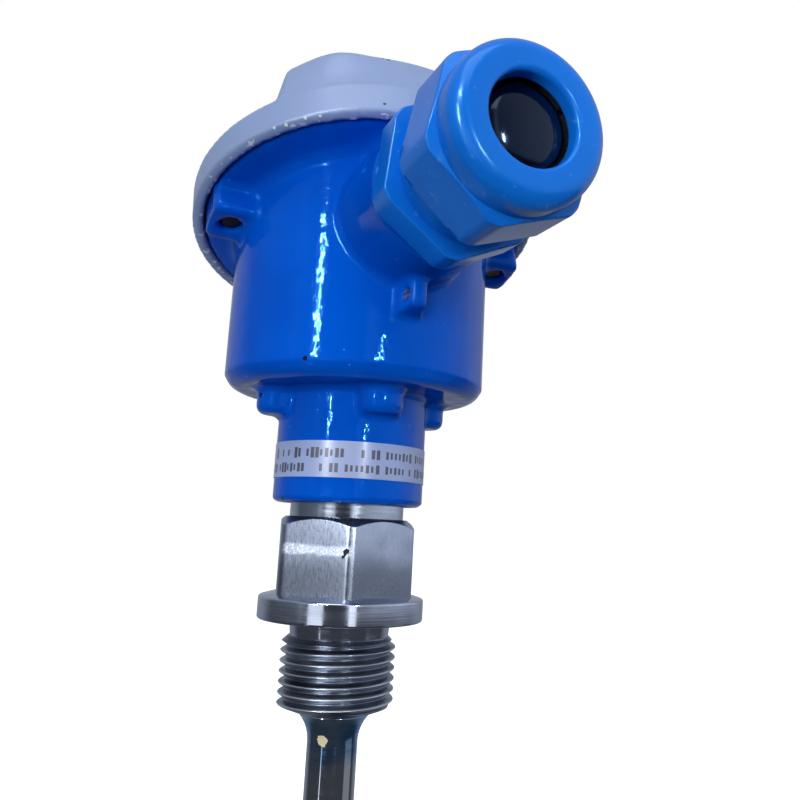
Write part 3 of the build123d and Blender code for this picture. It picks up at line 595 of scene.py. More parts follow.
@dataclass(frozen=True)
class BrushedSteel(Recipe):
    """Milled and brushed flats with a shaded foot, a rubbed band, scratches and a dent."""

    colour: Rgb = (0.47, 0.52, 0.65)
    dull: Rgb = (0.34, 0.38, 0.49)
    rub: Rgb = (0.9, 0.92, 0.97)
    dent: Rgb = (0.02, 0.02, 0.03)
    roughness: float = 0.27
    shade_top: float = 12.8
    shade_foot: float = 8.5
    rubbed_flat: Point = (-0.687, -0.727, 0.0)
    rubbed_reach: float = 11.7
    rubbed_height: float = 12.4
    marks: tuple[Spot, ...] = ()

    def _dress(self, finish: Finish) -> None:
        """Wires the brushed steel.

        Args:
            finish: The material in the making.
        """
        graph = finish.graph
        colour, _ = finish.drift(160.0, self.colour, self.dull)
        grain = graph.noise(finish.stretched(1.0, 1.0, 0.35), 2600.0, detail=3.0)
        brushed = graph.noise(finish.stretched(0.05, 0.05, 1.0), 3500.0)
        scratches = graph.ramp(graph.noise(finish.stretched(1.0, 0.3, 0.05), 1500.0, detail=1.0), 0.66, 0.72)
        colour = finish.over(scratches, colour, self.dull, 0.2)
        level = graph.split(finish.place)[2]
        shaded = graph.ramp(level, self.shade_top * MM, self.shade_foot * MM)
        colour = finish.over(shaded, colour, tuple(part * 0.5 for part in self.dull), 0.75)
        rubbed = self._rubbed(finish, level)
        grains = graph.ramp(graph.noise(finish.place, 3200.0, detail=3.0), 0.42, 0.75)
        colour = finish.over(graph.times(rubbed, grains), colour, self.rub)
        colour = finish.marked(self.marks, colour, self.dent)
        rough = graph.between(grain, self.roughness * 0.7, self.roughness * 1.4)
        rough = graph.between(rubbed, rough, 0.5)
        normal = finish.bump(grain, 0.35, 0.00004)
        normal = finish.bump(brushed, 0.3, 0.00001, normal)
        finish.set(Base_Color=colour, Metallic=1.0, Roughness=rough, Normal=normal)

    def _rubbed(self, finish: Finish, level: bpy.types.NodeSocket) -> bpy.types.NodeSocket:
        """Masks the ragged band that is rubbed on one flat.

        Args:
            finish: The material in the making.
            level: Height along the axis.

        Returns:
            The mask.
        """
        graph = finish.graph
        facing = graph.along(finish.place, self.rubbed_flat)
        height = graph.size(graph.minus(level, self.rubbed_height * MM))
        ragged = graph.line(graph.noise(finish.stretched(0.4, 0.4, 1.0), 420.0, detail=4.0), 0.0024, -0.0006)
        soft = graph.ramp(graph.minus(height, ragged), 0.0005, -0.0004)
        return graph.times(soft, graph.above(facing, self.rubbed_reach * MM))


@dataclass(frozen=True)
class MouldedPlastic(Recipe):
    """Moulded plastic: satin skin with flow shades, scuffs and fine grain."""

    colour: Rgb
    worn: Rgb
    roughness: float
    grain_depth: float = 0.00002
    sheen: Rgb = (1.0, 1.0, 1.0)
    marks: tuple[Spot, ...] = ()

    def _dress(self, finish: Finish) -> None:
        """Wires the plastic.

        Args:
            finish: The material in the making.
        """
        graph = finish.graph
        colour, _ = finish.drift(55.0, self.colour, tuple(part * 0.88 for part in self.colour))
        scuffs = graph.ramp(graph.noise(finish.place, 420.0, detail=6.0, distortion=0.6), 0.62, 0.8)
        colour = finish.over(scuffs, colour, self.worn, 0.4)
        colour = finish.marked(self.marks, colour, self.worn, 0.8)
        colour = finish.over(finish.specks(1100.0, 0.2, 0.08), colour, self.worn, 0.3)
        rough = graph.between(scuffs, self.roughness, self.roughness * 1.5)
        normal = finish.bump(graph.noise(finish.place, 1800.0, detail=3.0), 0.5, self.grain_depth)
        finish.set(Base_Color=colour, Roughness=rough, Normal=normal, Specular_Tint=opaque(self.sheen))


@dataclass(frozen=True)
class SoftRubber(Recipe):
    """Matt rubber or silicone with dust in its pores."""

    colour: Rgb
    dusty: Rgb
    roughness: float = 0.6

    def _dress(self, finish: Finish) -> None:
        """Wires the rubber.

        Args:
            finish: The material in the making.
        """
        graph = finish.graph
        colour, cloud = finish.drift(150.0, self.colour, tuple(part * 0.7 for part in self.colour))
        colour = finish.over(finish.specks(1300.0, 0.25, 0.25), colour, self.dusty, 0.4)
        rough = graph.between(cloud, self.roughness * 0.85, self.roughness * 1.15)
        normal = finish.bump(graph.noise(finish.place, 2200.0, detail=3.0), 0.5, 0.00003)
        finish.set(Base_Color=colour, Roughness=rough, Normal=normal)


@dataclass(frozen=True)
class PlatedMetal(Recipe):
    """Zinc, brass or plain bright metal with a cloudy skin, and painted shade below a height if wanted, for
    screw tips deep in their holes.
    """

    colour: Rgb
    cloud: Rgb
    roughness: float = 0.28
    hole_shade: Rgb = (0.05, 0.045, 0.04)
    shaded_below: float | None = None

    def _dress(self, finish: Finish) -> None:
        """Wires the plated metal.

        Args:
            finish: The material in the making.
        """
        graph = finish.graph
        colour, cloud = finish.drift(420.0, self.colour, self.cloud)
        rough = graph.between(cloud, self.roughness * 0.7, self.roughness * 1.5)
        normal = finish.bump(graph.noise(finish.place, 2600.0, detail=3.0), 0.4, 0.00002)
        # Painted shade: darker below a height along the seat's normal, where the screw tips sit in the lug
        # holes.
        if self.shaded_below is not None:
            level = graph.along(finish.place, SEAT_NORMAL)
            low = graph.ramp(level, self.shaded_below * MM, (self.shaded_below - 1.0) * MM)
            colour = finish.over(low, colour, self.hole_shade)
        finish.set(Base_Color=colour, Metallic=1.0, Roughness=rough, Normal=normal)


@dataclass(frozen=True)
class MarkRow:
    """Row of plain marks: middle and half height in mm, and its seed."""

    middle: float
    half: float
    seed: float


@dataclass(frozen=True)
class LabelFilm(Recipe):
    """Satin label film round the neck with two rows of plain marks."""

    colour: Rgb
    ink: Rgb = (0.02, 0.02, 0.035)
    rows: tuple[MarkRow, ...] = (MarkRow(29.35, 0.95, 3.0), MarkRow(26.75, 0.9, 11.0))
    neck_radius: float = 14.12
    mark_pitch: float = 0.92

    def _dress(self, finish: Finish) -> None:
        """Wires the film.

        Args:
            finish: The material in the making.
        """
        graph = finish.graph
        x, y, z = graph.split(finish.place)
        angle = graph.math("ARCTAN2", x, graph.times(y, -1.0))
        run = graph.times(angle, self.neck_radius / self.mark_pitch)
        height = graph.times(z, 1 / MM)
        first, second = (self._printed(graph, run, height, row) for row in self.rows)
        inked = graph.math("MAXIMUM", first, second)
        colour, _ = finish.drift(90.0, self.colour, tuple(part * 0.9 for part in self.colour))
        colour = finish.over(inked, colour, self.ink, 0.85)
        normal = finish.bump(graph.noise(finish.place, 500.0), 0.3, 0.00003)
        finish.set(Base_Color=colour, Roughness=graph.between(inked, 0.3, 0.42), Normal=normal)
        finish.set(Coat_Weight=0.3, Coat_Roughness=0.15)

    @staticmethod
    def _printed(graph: Graph, run: Any, height: Any, row: MarkRow) -> bpy.types.NodeSocket:
        """Masks one row of marks of uneven width and height.

        Args:
            graph: The material's graph.
            run: Place round the neck, in marks.
            height: Height along the axis, in mm.
            row: The row.

        Returns:
            The mask.
        """
        cell = graph.plus(graph.math("FLOOR", run), row.seed)
        draws = []
        for place in (cell, graph.plus(cell, 57.3)):
            draws.append(graph.add("ShaderNodeTexWhiteNoise", {"noise_dimensions": "1D"}, W=place).outputs[0])
        wide = graph.below(graph.math("FRACT", run), graph.between(draws[1], 0.45, 0.8))
        printed = graph.above(draws[0], 0.2)
        off = graph.size(graph.minus(height, row.middle))
        tall = graph.below(off, graph.between(draws[1], row.half * 0.55, row.half))
        return graph.times(graph.times(wide, printed), tall)


class Finishes:
    """Every finish of the thermometer, built once."""

    def __init__(self) -> None:
        """Builds the shared groups and the materials."""
        effects = SharedEffects()
        zinc = ((0.75, 0.74, 0.72), (0.5, 0.49, 0.48))
        recipes = {
            "blue_coat": PowderCoat(
                "blue_powder_coat", (0.0, 0.097, 0.63), (0.0, 0.08, 0.55), (0.2, 0.36, 0.65),
                sheen=(0.12, 0.5, 1.0), specular=0.36,
                dark_marks=(Spot((-15.5, -19.05, 43.95), 0.4), Spot((-13.2, -3.1, 20.9), 0.7)),
            ),
            "grey_coat": PowderCoat(
                "grey_powder_coat", (0.27, 0.35, 0.58), (0.24, 0.32, 0.53), (0.8, 0.83, 0.9),
                sheen=(0.8, 0.9, 1.0), roughness=0.32, peel=0.45,
                marks=(
                    Spot((-24.7, -22.96, 80.93), 0.3), Spot((-23.1, -24.4, 81.24), 0.34),
                    Spot((-20.6, -26.6, 82.1), 0.3), Spot((-18.5, -28.0, 82.5), 0.25),
                ),
                dark_marks=(
                    Spot((-6.7, -26.1, 97.2), 0.35), Spot((-7.7, -25.9, 97.2), 0.3),
                    Spot((-8.9, -31.95, 85.4), 0.25),
                ),
                edge=WornEdge(SEAT_NORMAL, 69.5, 0.42),
            ),
            "turned": TurnedSteel("turned_steel", (0.52, 0.57, 0.68), (0.4, 0.44, 0.54), 0.12),
            "collar": TurnedSteel("turned_collar_steel", (0.42, 0.47, 0.55), (0.3, 0.34, 0.41), 0.14),
            "thread": TurnedSteel(
                "cut_thread_steel", (0.3, 0.34, 0.41), (0.15, 0.17, 0.22), 0.26, crest_radius=10.42,
            ),
            # Painted reflection: the stem's blue tint stands for blue mirrored in the steel.
            "stem": TurnedSteel(
                "stem_steel_painted_reflection", (0.4, 0.48, 0.6), (0.05, 0.24, 0.54), 0.09, line_depth=0.000002,
                painted_reflection_end=-24.0, marks=(Spot((-3.05, -3.45, -20.2), 0.9),), mark_colour=(0.75, 0.65, 0.42),
            ),
            "flats": BrushedSteel(
                "brushed_hexagon_steel",
                marks=(Spot((-4.1, -12.6, 12.5), 0.6), Spot((-4.4, -12.4, 11.6), 0.35)),
            ),
            "gland": MouldedPlastic(
                "blue_polyamide", (0.004, 0.17, 0.74), (0.1, 0.34, 0.78), 0.2, sheen=(0.3, 0.7, 1.0),
                marks=(Spot((-12.26, -39.78, 69.8), 0.6),),
            ),
            "plug": MouldedPlastic(
                "black_stopper", (0.001, 0.002, 0.01), (0.02, 0.025, 0.05), 0.1, sheen=(0.4, 0.6, 1.0),
                grain_depth=0.000006,
            ),
            "rubber": SoftRubber("black_rubber", (0.012, 0.012, 0.014), (0.1, 0.1, 0.11)),
            "silicone": SoftRubber("red_silicone", (0.42, 0.06, 0.035), (0.5, 0.25, 0.2), 0.5),
            "zinc": PlatedMetal("zinc_plate", *zinc),
            # Painted shade on the lid screws' tips inside the lug holes.
            "lid_screw": PlatedMetal("zinc_lid_screw", *zinc, shaded_below=68.5),
            "brass": PlatedMetal("nickelled_brass", (0.62, 0.52, 0.3), (0.5, 0.42, 0.26), 0.24),
            "bright": PlatedMetal("bright_steel", (0.58, 0.58, 0.6), (0.46, 0.46, 0.5), 0.2),
            "module": MouldedPlastic(
                "grey_module_plastic", (0.055, 0.065, 0.08), (0.14, 0.15, 0.17), 0.5, grain_depth=0.00004,
            ),
            "film": LabelFilm("label_film", (0.36, 0.44, 0.72)),
            "sleeve": MouldedPlastic("red_wire_sleeve", (0.5, 0.03, 0.02), (0.6, 0.2, 0.18), 0.38),
        }
        self._materials = {key: recipe.build(effects) for key, recipe in recipes.items()}

    def __getitem__(self, key: str) -> bpy.types.Material:
        """The material of that name."""
        return self._materials[key]


# Mesh helpers


@dataclass(frozen=True)
class HexOutline:
    """Outline of a hexagon whose corners are cut by flats or by a circle, in mm and degrees."""

    across_flats: float
    turn: float
    sharpness: float
    corner_flats: float | None = None
    corner_radius: float | None = None

    def radius(self, angles: np.ndarray) -> np.ndarray:
        """Finds the outline's distance from the axis.

        Args:
            angles: Angles in radians.

        Returns:
            The distance at each angle, in mm.
        """
        total = np.zeros_like(angles)
        for number in range(6):
            total += self._wall(angles, self.turn + 30 + 60 * number, self.across_flats)
            if self.corner_flats is not None:
                total += self._wall(angles, self.turn + 60 * number, self.corner_flats)
        if self.corner_radius is not None:
            total += (1 / self.corner_radius) ** self.sharpness
        return total ** (-1 / self.sharpness)

    def _wall(self, angles: np.ndarray, bearing: float, across: float) -> np.ndarray:
        """Share of one flat wall in the outline."""
        return np.maximum(np.cos(angles - math.radians(bearing)) / (across / 2), 0) ** self.sharpness


@dataclass
class TurnedForm:
    """Form swept round an axis, ring by ring, in mm; a ring may follow a hexagon."""

    name: str
    place: Matrix = field(default_factory=lambda: Matrix.Identity(4))
    segments: int = 240
    rings: list[tuple[np.ndarray, np.ndarray]] = field(default_factory=list)

    @property
    def angles(self) -> np.ndarray:
        """Angle of each point on a ring."""
        return np.arange(self.segments) * 2 * math.pi / self.segments

    def circle(self, radius: float, height: float) -> None:
        """Adds a round ring."""
        self.rings.append((np.full(self.segments, radius), np.full(self.segments, height)))

    def hexagon(self, outline: HexOutline, height: float, inset: float = 0.0) -> None:
        """Adds a ring on a hexagon's outline."""
        self.rings.append((outline.radius(self.angles) - inset, np.full(self.segments, height)))

    def profile(self, points: Sequence[tuple[float, float, float]], steps: int = 4) -> None:
        """Adds round rings along a line whose corners are rounded.

        Args:
            points: Radius, height and corner radius of each point.
            steps: Rings on each rounded corner.
        """
        longest = 0.49
        for index, (radius, height, corner) in enumerate(points):
            here = Vector((radius, height))
            if corner <= 0 or index in (0, len(points) - 1):
                self.circle(radius, height)
                continue
            back = Vector(points[index - 1][:2]) - here
            ahead = Vector(points[index + 1][:2]) - here
            before, after = back.normalized(), ahead.normalized()
            half = before.angle(after) / 2
            reach = min(corner / math.tan(half), longest * back.length, longest * ahead.length)
            middle = here + (before + after).normalized() * (reach * math.tan(half) / math.sin(half))
            start, end = here + before * reach - middle, here + after * reach - middle
            sweep = (math.pi / 2 - half) * 2
            for step in range(steps + 1):
                part = step / steps
                arm = start * math.sin((1 - part) * sweep) + end * math.sin(part * sweep)
                point = middle + arm / math.sin(sweep)
                self.circle(point.x, point.y)

    def cone_cut(
        self, outline: HexOutline, radius: float, height: float, slope: float, edge: float = 0.12,
    ) -> None:
        """Adds the rings of a cone that cuts a hexagon's corners, from its inner circle outwards.

        Args:
            outline: The hexagon.
            radius: Where the cone starts, in mm from the axis.
            height: Height there.
            slope: Height change for each mm outwards, downwards on both hexagons.
            edge: Softness of the edge between cone and flats.
        """
        steps, droop = 5, 0.6
        reach = outline.radius(self.angles)
        widest = float(reach.max())
        for step in range(steps + 1):
            limit = radius + (widest - radius) * step / steps
            spot = np.minimum(np.maximum(reach - edge, radius), limit)
            self.rings.append((spot, height + (spot - radius) * slope))
        self.rings.append((reach, height + (reach - radius) * slope - edge * droop))

    def mesh(self, closed: bool = True) -> bpy.types.Mesh:
        """Joins the rings.

        Args:
            closed: Whether the last ring joins the first, as on a bored part.

        Returns:
            The mesh in metres, faces outward.
        """
        points = []
        for radii, heights in self.rings:
            for radius, height, angle in zip(radii, heights, self.angles):
                spot = Vector((radius * math.cos(angle), radius * math.sin(angle), height))
                points.append(self.place @ (spot * MM))
        faces = []
        count = len(self.rings)
        for ring in range(count if closed else count - 1):
            low, high = ring * self.segments, (ring + 1) % count * self.segments
            for here in range(self.segments):
                beside = (here + 1) % self.segments
                faces.append((low + here, low + beside, high + beside, high + here))
        mesh = bpy.data.meshes.new(self.name)
        mesh.from_pydata(points, [], faces)
        close_form(mesh)
        for face in mesh.polygons:
            face.use_smooth = True
        return mesh


def close_form(mesh: bpy.types.Mesh) -> None:
    """Merges the seams of a swept form and turns its faces outward.

    Args:
        mesh: The form, changed in place.
    """
    work = bmesh.new()
    work.from_mesh(mesh)
    bmesh.ops.remove_doubles(work, verts=work.verts, dist=WELD)
    bmesh.ops.dissolve_degenerate(work, edges=work.edges, dist=SLIVER)
    bmesh.ops.recalc_face_normals(work, faces=work.faces)
    work.to_mesh(mesh)
    work.free()


def axis_place(origin: Point, z: Vector) -> Matrix:
    """Finds the matrix of an axis that stands square to the world's X.

    Args:
        origin: Its origin in mm.
        z: Its direction.

    Returns:
        The matrix, with local X along the world's X.
    """
    x = Vector((1, 0, 0))
    rotation = Matrix((x, z.cross(x), z)).transposed().to_4x4()
    return Matrix.Translation(Vector(origin) * MM) @ rotation


def bake(obj: bpy.types.Object) -> None:
    """Turns the evaluated object into its plain mesh and drops its modifiers.

    Args:
        obj: The object.
    """
    depsgraph = bpy.context.evaluated_depsgraph_get()
    mesh = bpy.data.meshes.new_from_object(obj.evaluated_get(depsgraph))
    obj.modifiers.clear()
    old = obj.data
    obj.data = mesh
    mesh.name = obj.name
    if old.users == 0:
        bpy.data.meshes.remove(old)


def smooth_weights(obj: bpy.types.Object, crease: float | None = None) -> None:
    """Gives the mesh normals weighted by face area.

    Args:
        obj: The object.
        crease: Angle in degrees above which an edge is sharp, or None for no sharp edge.
    """
    for face in obj.data.polygons:
        face.use_smooth = True
    if crease is not None:
        work = bmesh.new()
        work.from_mesh(obj.data)
        for edge in work.edges:
            edge.smooth = len(edge.link_faces) == 2 and edge.calc_face_angle(0.0) < math.radians(crease)
        work.to_mesh(obj.data)
        work.free()
    modifier = obj.modifiers.new("weighted", "WEIGHTED_NORMAL")
    modifier.keep_sharp = True
    bake(obj)


def coat(mesh: bpy.types.Mesh, material: bpy.types.Material) -> None:
    """Gives a mesh one material all over.

    Args:
        mesh: The mesh.
        material: Its material.
    """
    mesh.materials.clear()
    mesh.materials.append(material)
    mesh.polygons.foreach_set("material_index", [0] * len(mesh.polygons))


def new_piece(name: str, mesh: bpy.types.Mesh, material: bpy.types.Material) -> bpy.types.Object:
    """Links a mesh as an object with one material.

    Args:
        name: The piece's name.
        mesh: Its mesh.
        material: Its material.

    Returns:
        The object.
    """
    obj = bpy.data.objects.new(name, mesh)
    bpy.context.scene.collection.objects.link(obj)
    coat(mesh, material)
    return obj


def grown_piece(name: str, tree: bpy.types.NodeTree, values: dict[str, Any]) -> bpy.types.Object:
    """Grows a piece from a geometry node tree.

    Args:
        name: The piece's name.
        tree: The tree.
        values: Values of its inputs by name, with the material as "Finish".

    Returns:
        The object, with a plain mesh.
    """
    obj = new_piece(name, bpy.data.meshes.new(name), values["Finish"])
    modifier = obj.modifiers.new(tree.name, "NODES")
    modifier.node_group = tree
    for item in tree.interface.items_tree:
        if item.item_type == "SOCKET" and item.in_out == "INPUT":
            modifier[item.identifier] = values[item.name]
    bake(obj)
    coat(obj.data, values["Finish"])
    return obj


def copied_solid(node: str, name: str, material: bpy.types.Material) -> bpy.types.Object:
    """Copies a CAD node's mesh and merges its loose triangles.

    Args:
        node: The CAD node.
        name: The piece's name.
        material: Its material.

    Returns:
        The copy.
    """
    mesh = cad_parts[node].data.copy()
    work = bmesh.new()
    work.from_mesh(mesh)
    bmesh.ops.remove_doubles(work, verts=work.verts, dist=WELD / 2)
    work.to_mesh(mesh)
    work.free()
    return new_piece(name, mesh, material)


def seat(obj: bpy.types.Object, body: Body, slot: Slot, *nodes: str) -> None:
    """Lets a finished piece ride on its body and stand for CAD nodes.

    Args:
        obj: The piece.
        body: The body that it rides on.
        slot: Its material slot; not used.
        nodes: The CAD nodes that it replaces.
    """
    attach(obj, body.value)
    if nodes:
        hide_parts(*nodes)
    log.info("%s: %d faces on %s", obj.name, len(obj.data.polygons), body.value)


def seat_form(
    form: TurnedForm, material: bpy.types.Material, body: Body, slot: Slot, *nodes: str, crease: float = 50.0,
    closed: bool = True,
) -> None:
    """Makes a turned form a piece and seats it.

    Args:
        form: The form.
        material: Its material.
        body: The body that it rides on.
        slot: Its material slot.
        nodes: The CAD nodes that it replaces.
        crease: Angle in degrees above which an edge is sharp.
        closed: Whether its last ring joins the first.
    """
    obj = new_piece(form.name, form.mesh(closed), material)
    smooth_weights(obj, crease)
    seat(obj, body, slot, *nodes)


def dress_solid(node: str, material: bpy.types.Material, body: Body, slot: Slot) -> None:
    """Replaces a CAD node by a merged copy with clean normals.

    Args:
        node: The CAD node.
        material: Its material.
        body: The body that it rides on.
        slot: Its material slot.
    """
    obj = copied_solid(node, f"{node}_dressed", material)
    smooth_weights(obj, CREASE)
    seat(obj, body, slot, node)


# Node trees


def thread_tree() -> bpy.types.NodeTree:
    """Builds the tree that wraps a grid round the axis and cuts a helical thread in it.

    Returns:
        The tree, with its sizes and its finish as inputs.
    """
    sizes = ("Major Radius", "Depth", "Pitch", "Top", "Bottom", "Bore Radius", "Foot Radius", "Relief Radius")
    inputs = [(size, FLOAT, None) for size in sizes] + [("Finish", MATERIAL, None)]
    graph = GroupGraph("cut_pipe_thread", inputs, [("Geometry", GEOMETRY)], "GeometryNodeTree")
    major, depth, pitch, top, bottom, bore, foot, relief, finish = graph.given
    around, along, end_share = 145, 220, 0.012
    foot_slope, relief_slope, roundness = 2.6, 1.1, 0.55
    plane = {"Size_X": 1.0, "Size_Y": 1.0, "Vertices_X": around, "Vertices_Y": along}
    grid = graph.add("GeometryNodeMeshGrid", **plane).outputs[0]
    across, up, _ = graph.split(graph.add("GeometryNodeInputPosition").outputs[0])
    share = graph.plus(across, 0.5)
    angle = graph.times(share, 2 * math.pi)
    run = graph.math("ADD", up, 0.5, clamp=True)
    height = graph.between(graph.line(run, 1.06, -0.03, clamp=True), bottom, top)
    phase = graph.math("FRACT", graph.minus(graph.math("DIVIDE", height, pitch), share))
    wave = graph.size(graph.line(phase, 2.0, -1.0))
    cut = graph.between(roundness, graph.ramp(wave, 0.06, 0.94), wave)
    crest = graph.line(graph.times(cut, depth), -1.0, major)
    lower = graph.plus(foot, graph.times(graph.minus(height, bottom), foot_slope))
    upper = graph.plus(relief, graph.times(graph.minus(top, height), relief_slope))
    outer = graph.math("MINIMUM", graph.math("MINIMUM", crest, lower), upper)
    is_end = graph.plus(graph.below(run, end_share), graph.above(run, 1 - end_share))
    radius = graph.between(is_end, outer, bore)
    sine, cosine = (graph.times(radius, graph.math(name, angle)) for name in ("SINE", "COSINE"))
    wrapped = graph.joined(cosine, sine, height)
    moved = graph.add("GeometryNodeSetPosition", Geometry=grid, Position=wrapped).outputs[0]
    merged = graph.add("GeometryNodeMergeByDistance", Geometry=moved, Distance=WELD / 2).outputs[0]
    real = graph.add("GeometryNodeRealizeInstances", Geometry=merged).outputs[0]
    return graph.give(graph.add("GeometryNodeSetMaterial", Geometry=real, Material=finish).outputs[0])


def slotted_screw(graph: Graph, sizes: Sequence[bpy.types.NodeSocket]) -> bpy.types.NodeSocket:
    """Adds the nodes of one slotted screw, its head round the origin.

    Args:
        graph: The tree's graph.
        sizes: Radius and height of the head, radius and depth of the shank, and width of the slot.

    Returns:
        The screw's geometry.
    """
    head_radius, head, shank_radius, depth, slot = sizes
    overlap, head_taper, bar_share = 0.0002, 0.88, 3.0
    radii = {"Radius_Top": graph.times(head_radius, head_taper), "Radius_Bottom": head_radius}
    cap = graph.add("GeometryNodeMeshCone", Vertices=40, Depth=head, **radii).outputs[0]
    length = graph.plus(depth, overlap)
    shank = graph.add("GeometryNodeMeshCylinder", Vertices=32, Radius=shank_radius, Depth=length).outputs[0]
    down = graph.joined(0.0, 0.0, graph.line(depth, -0.5, overlap / 2))
    shank = graph.add("GeometryNodeTransform", Geometry=shank, Translation=down).outputs[0]
    whole = graph.add("GeometryNodeMeshBoolean", {"operation": "UNION"})
    for part in (cap, shank):
        graph.tree.links.new(part, whole.inputs[1])
    bar = graph.joined(graph.times(head_radius, bar_share), slot, head)
    cutter = graph.add("GeometryNodeMeshCube", Size=bar).outputs[0]
    above = graph.joined(0.0, 0.0, head)
    cutter = graph.add("GeometryNodeTransform", Geometry=cutter, Translation=above).outputs[0]
    whole = whole.outputs[0]
    return graph.add("GeometryNodeMeshBoolean", {"operation": "DIFFERENCE"}, i0=whole, i1=cutter).outputs[0]


def terminal_tree() -> bpy.types.NodeTree:
    """Builds the tree that sets slotted screws in two groups of three on a ring.

    Returns:
        The tree, with its sizes and its finish as inputs.
    """
    sizes = (
        "Ring Radius", "Spread", "Level", "Head Radius", "Head Height", "Shank Radius", "Depth", "Slot Width",
    )
    inputs = [(size, FLOAT, None) for size in sizes] + [("Finish", MATERIAL, None)]
    graph = GroupGraph("terminal_ring", inputs, [("Geometry", GEOMETRY)], "GeometryNodeTree")
    ring, spread, level, *screw_sizes, finish = graph.given
    per_side, widest_turn = 3, 1.2
    index = graph.add("GeometryNodeInputIndex").outputs[0]
    side = graph.math("FLOOR", graph.math("DIVIDE", index, float(per_side)))
    number = graph.minus(graph.minus(index, graph.times(side, float(per_side))), 1.0)
    angle = graph.line(number, spread, graph.line(side, math.pi, -math.pi / 2))
    sine, cosine = (graph.times(ring, graph.math(name, angle)) for name in ("SINE", "COSINE"))
    line = graph.add("GeometryNodeMeshLine", Count=2 * per_side).outputs[0]
    places = {"Geometry": line, "Position": graph.joined(cosine, sine, level)}
    points = graph.add("GeometryNodeSetPosition", **places).outputs[0]
    limits = {"i2": -widest_turn, "i3": widest_turn, "Seed": 7}
    draw = graph.add("FunctionNodeRandomValue", {"data_type": "FLOAT"}, **limits)
    euler = graph.joined(0.0, 0.0, draw.outputs[1])
    facing = graph.add("FunctionNodeEulerToRotation", Euler=euler).outputs[0]
    screws = {"Points": points, "Instance": slotted_screw(graph, screw_sizes), "Rotation": facing}
    placed = graph.add("GeometryNodeInstanceOnPoints", **screws).outputs[0]
    real = graph.add("GeometryNodeRealizeInstances", Geometry=placed).outputs[0]
    return graph.give(graph.add("GeometryNodeSetMaterial", Geometry=real, Material=finish).outputs[0])


# Sub-assemblies


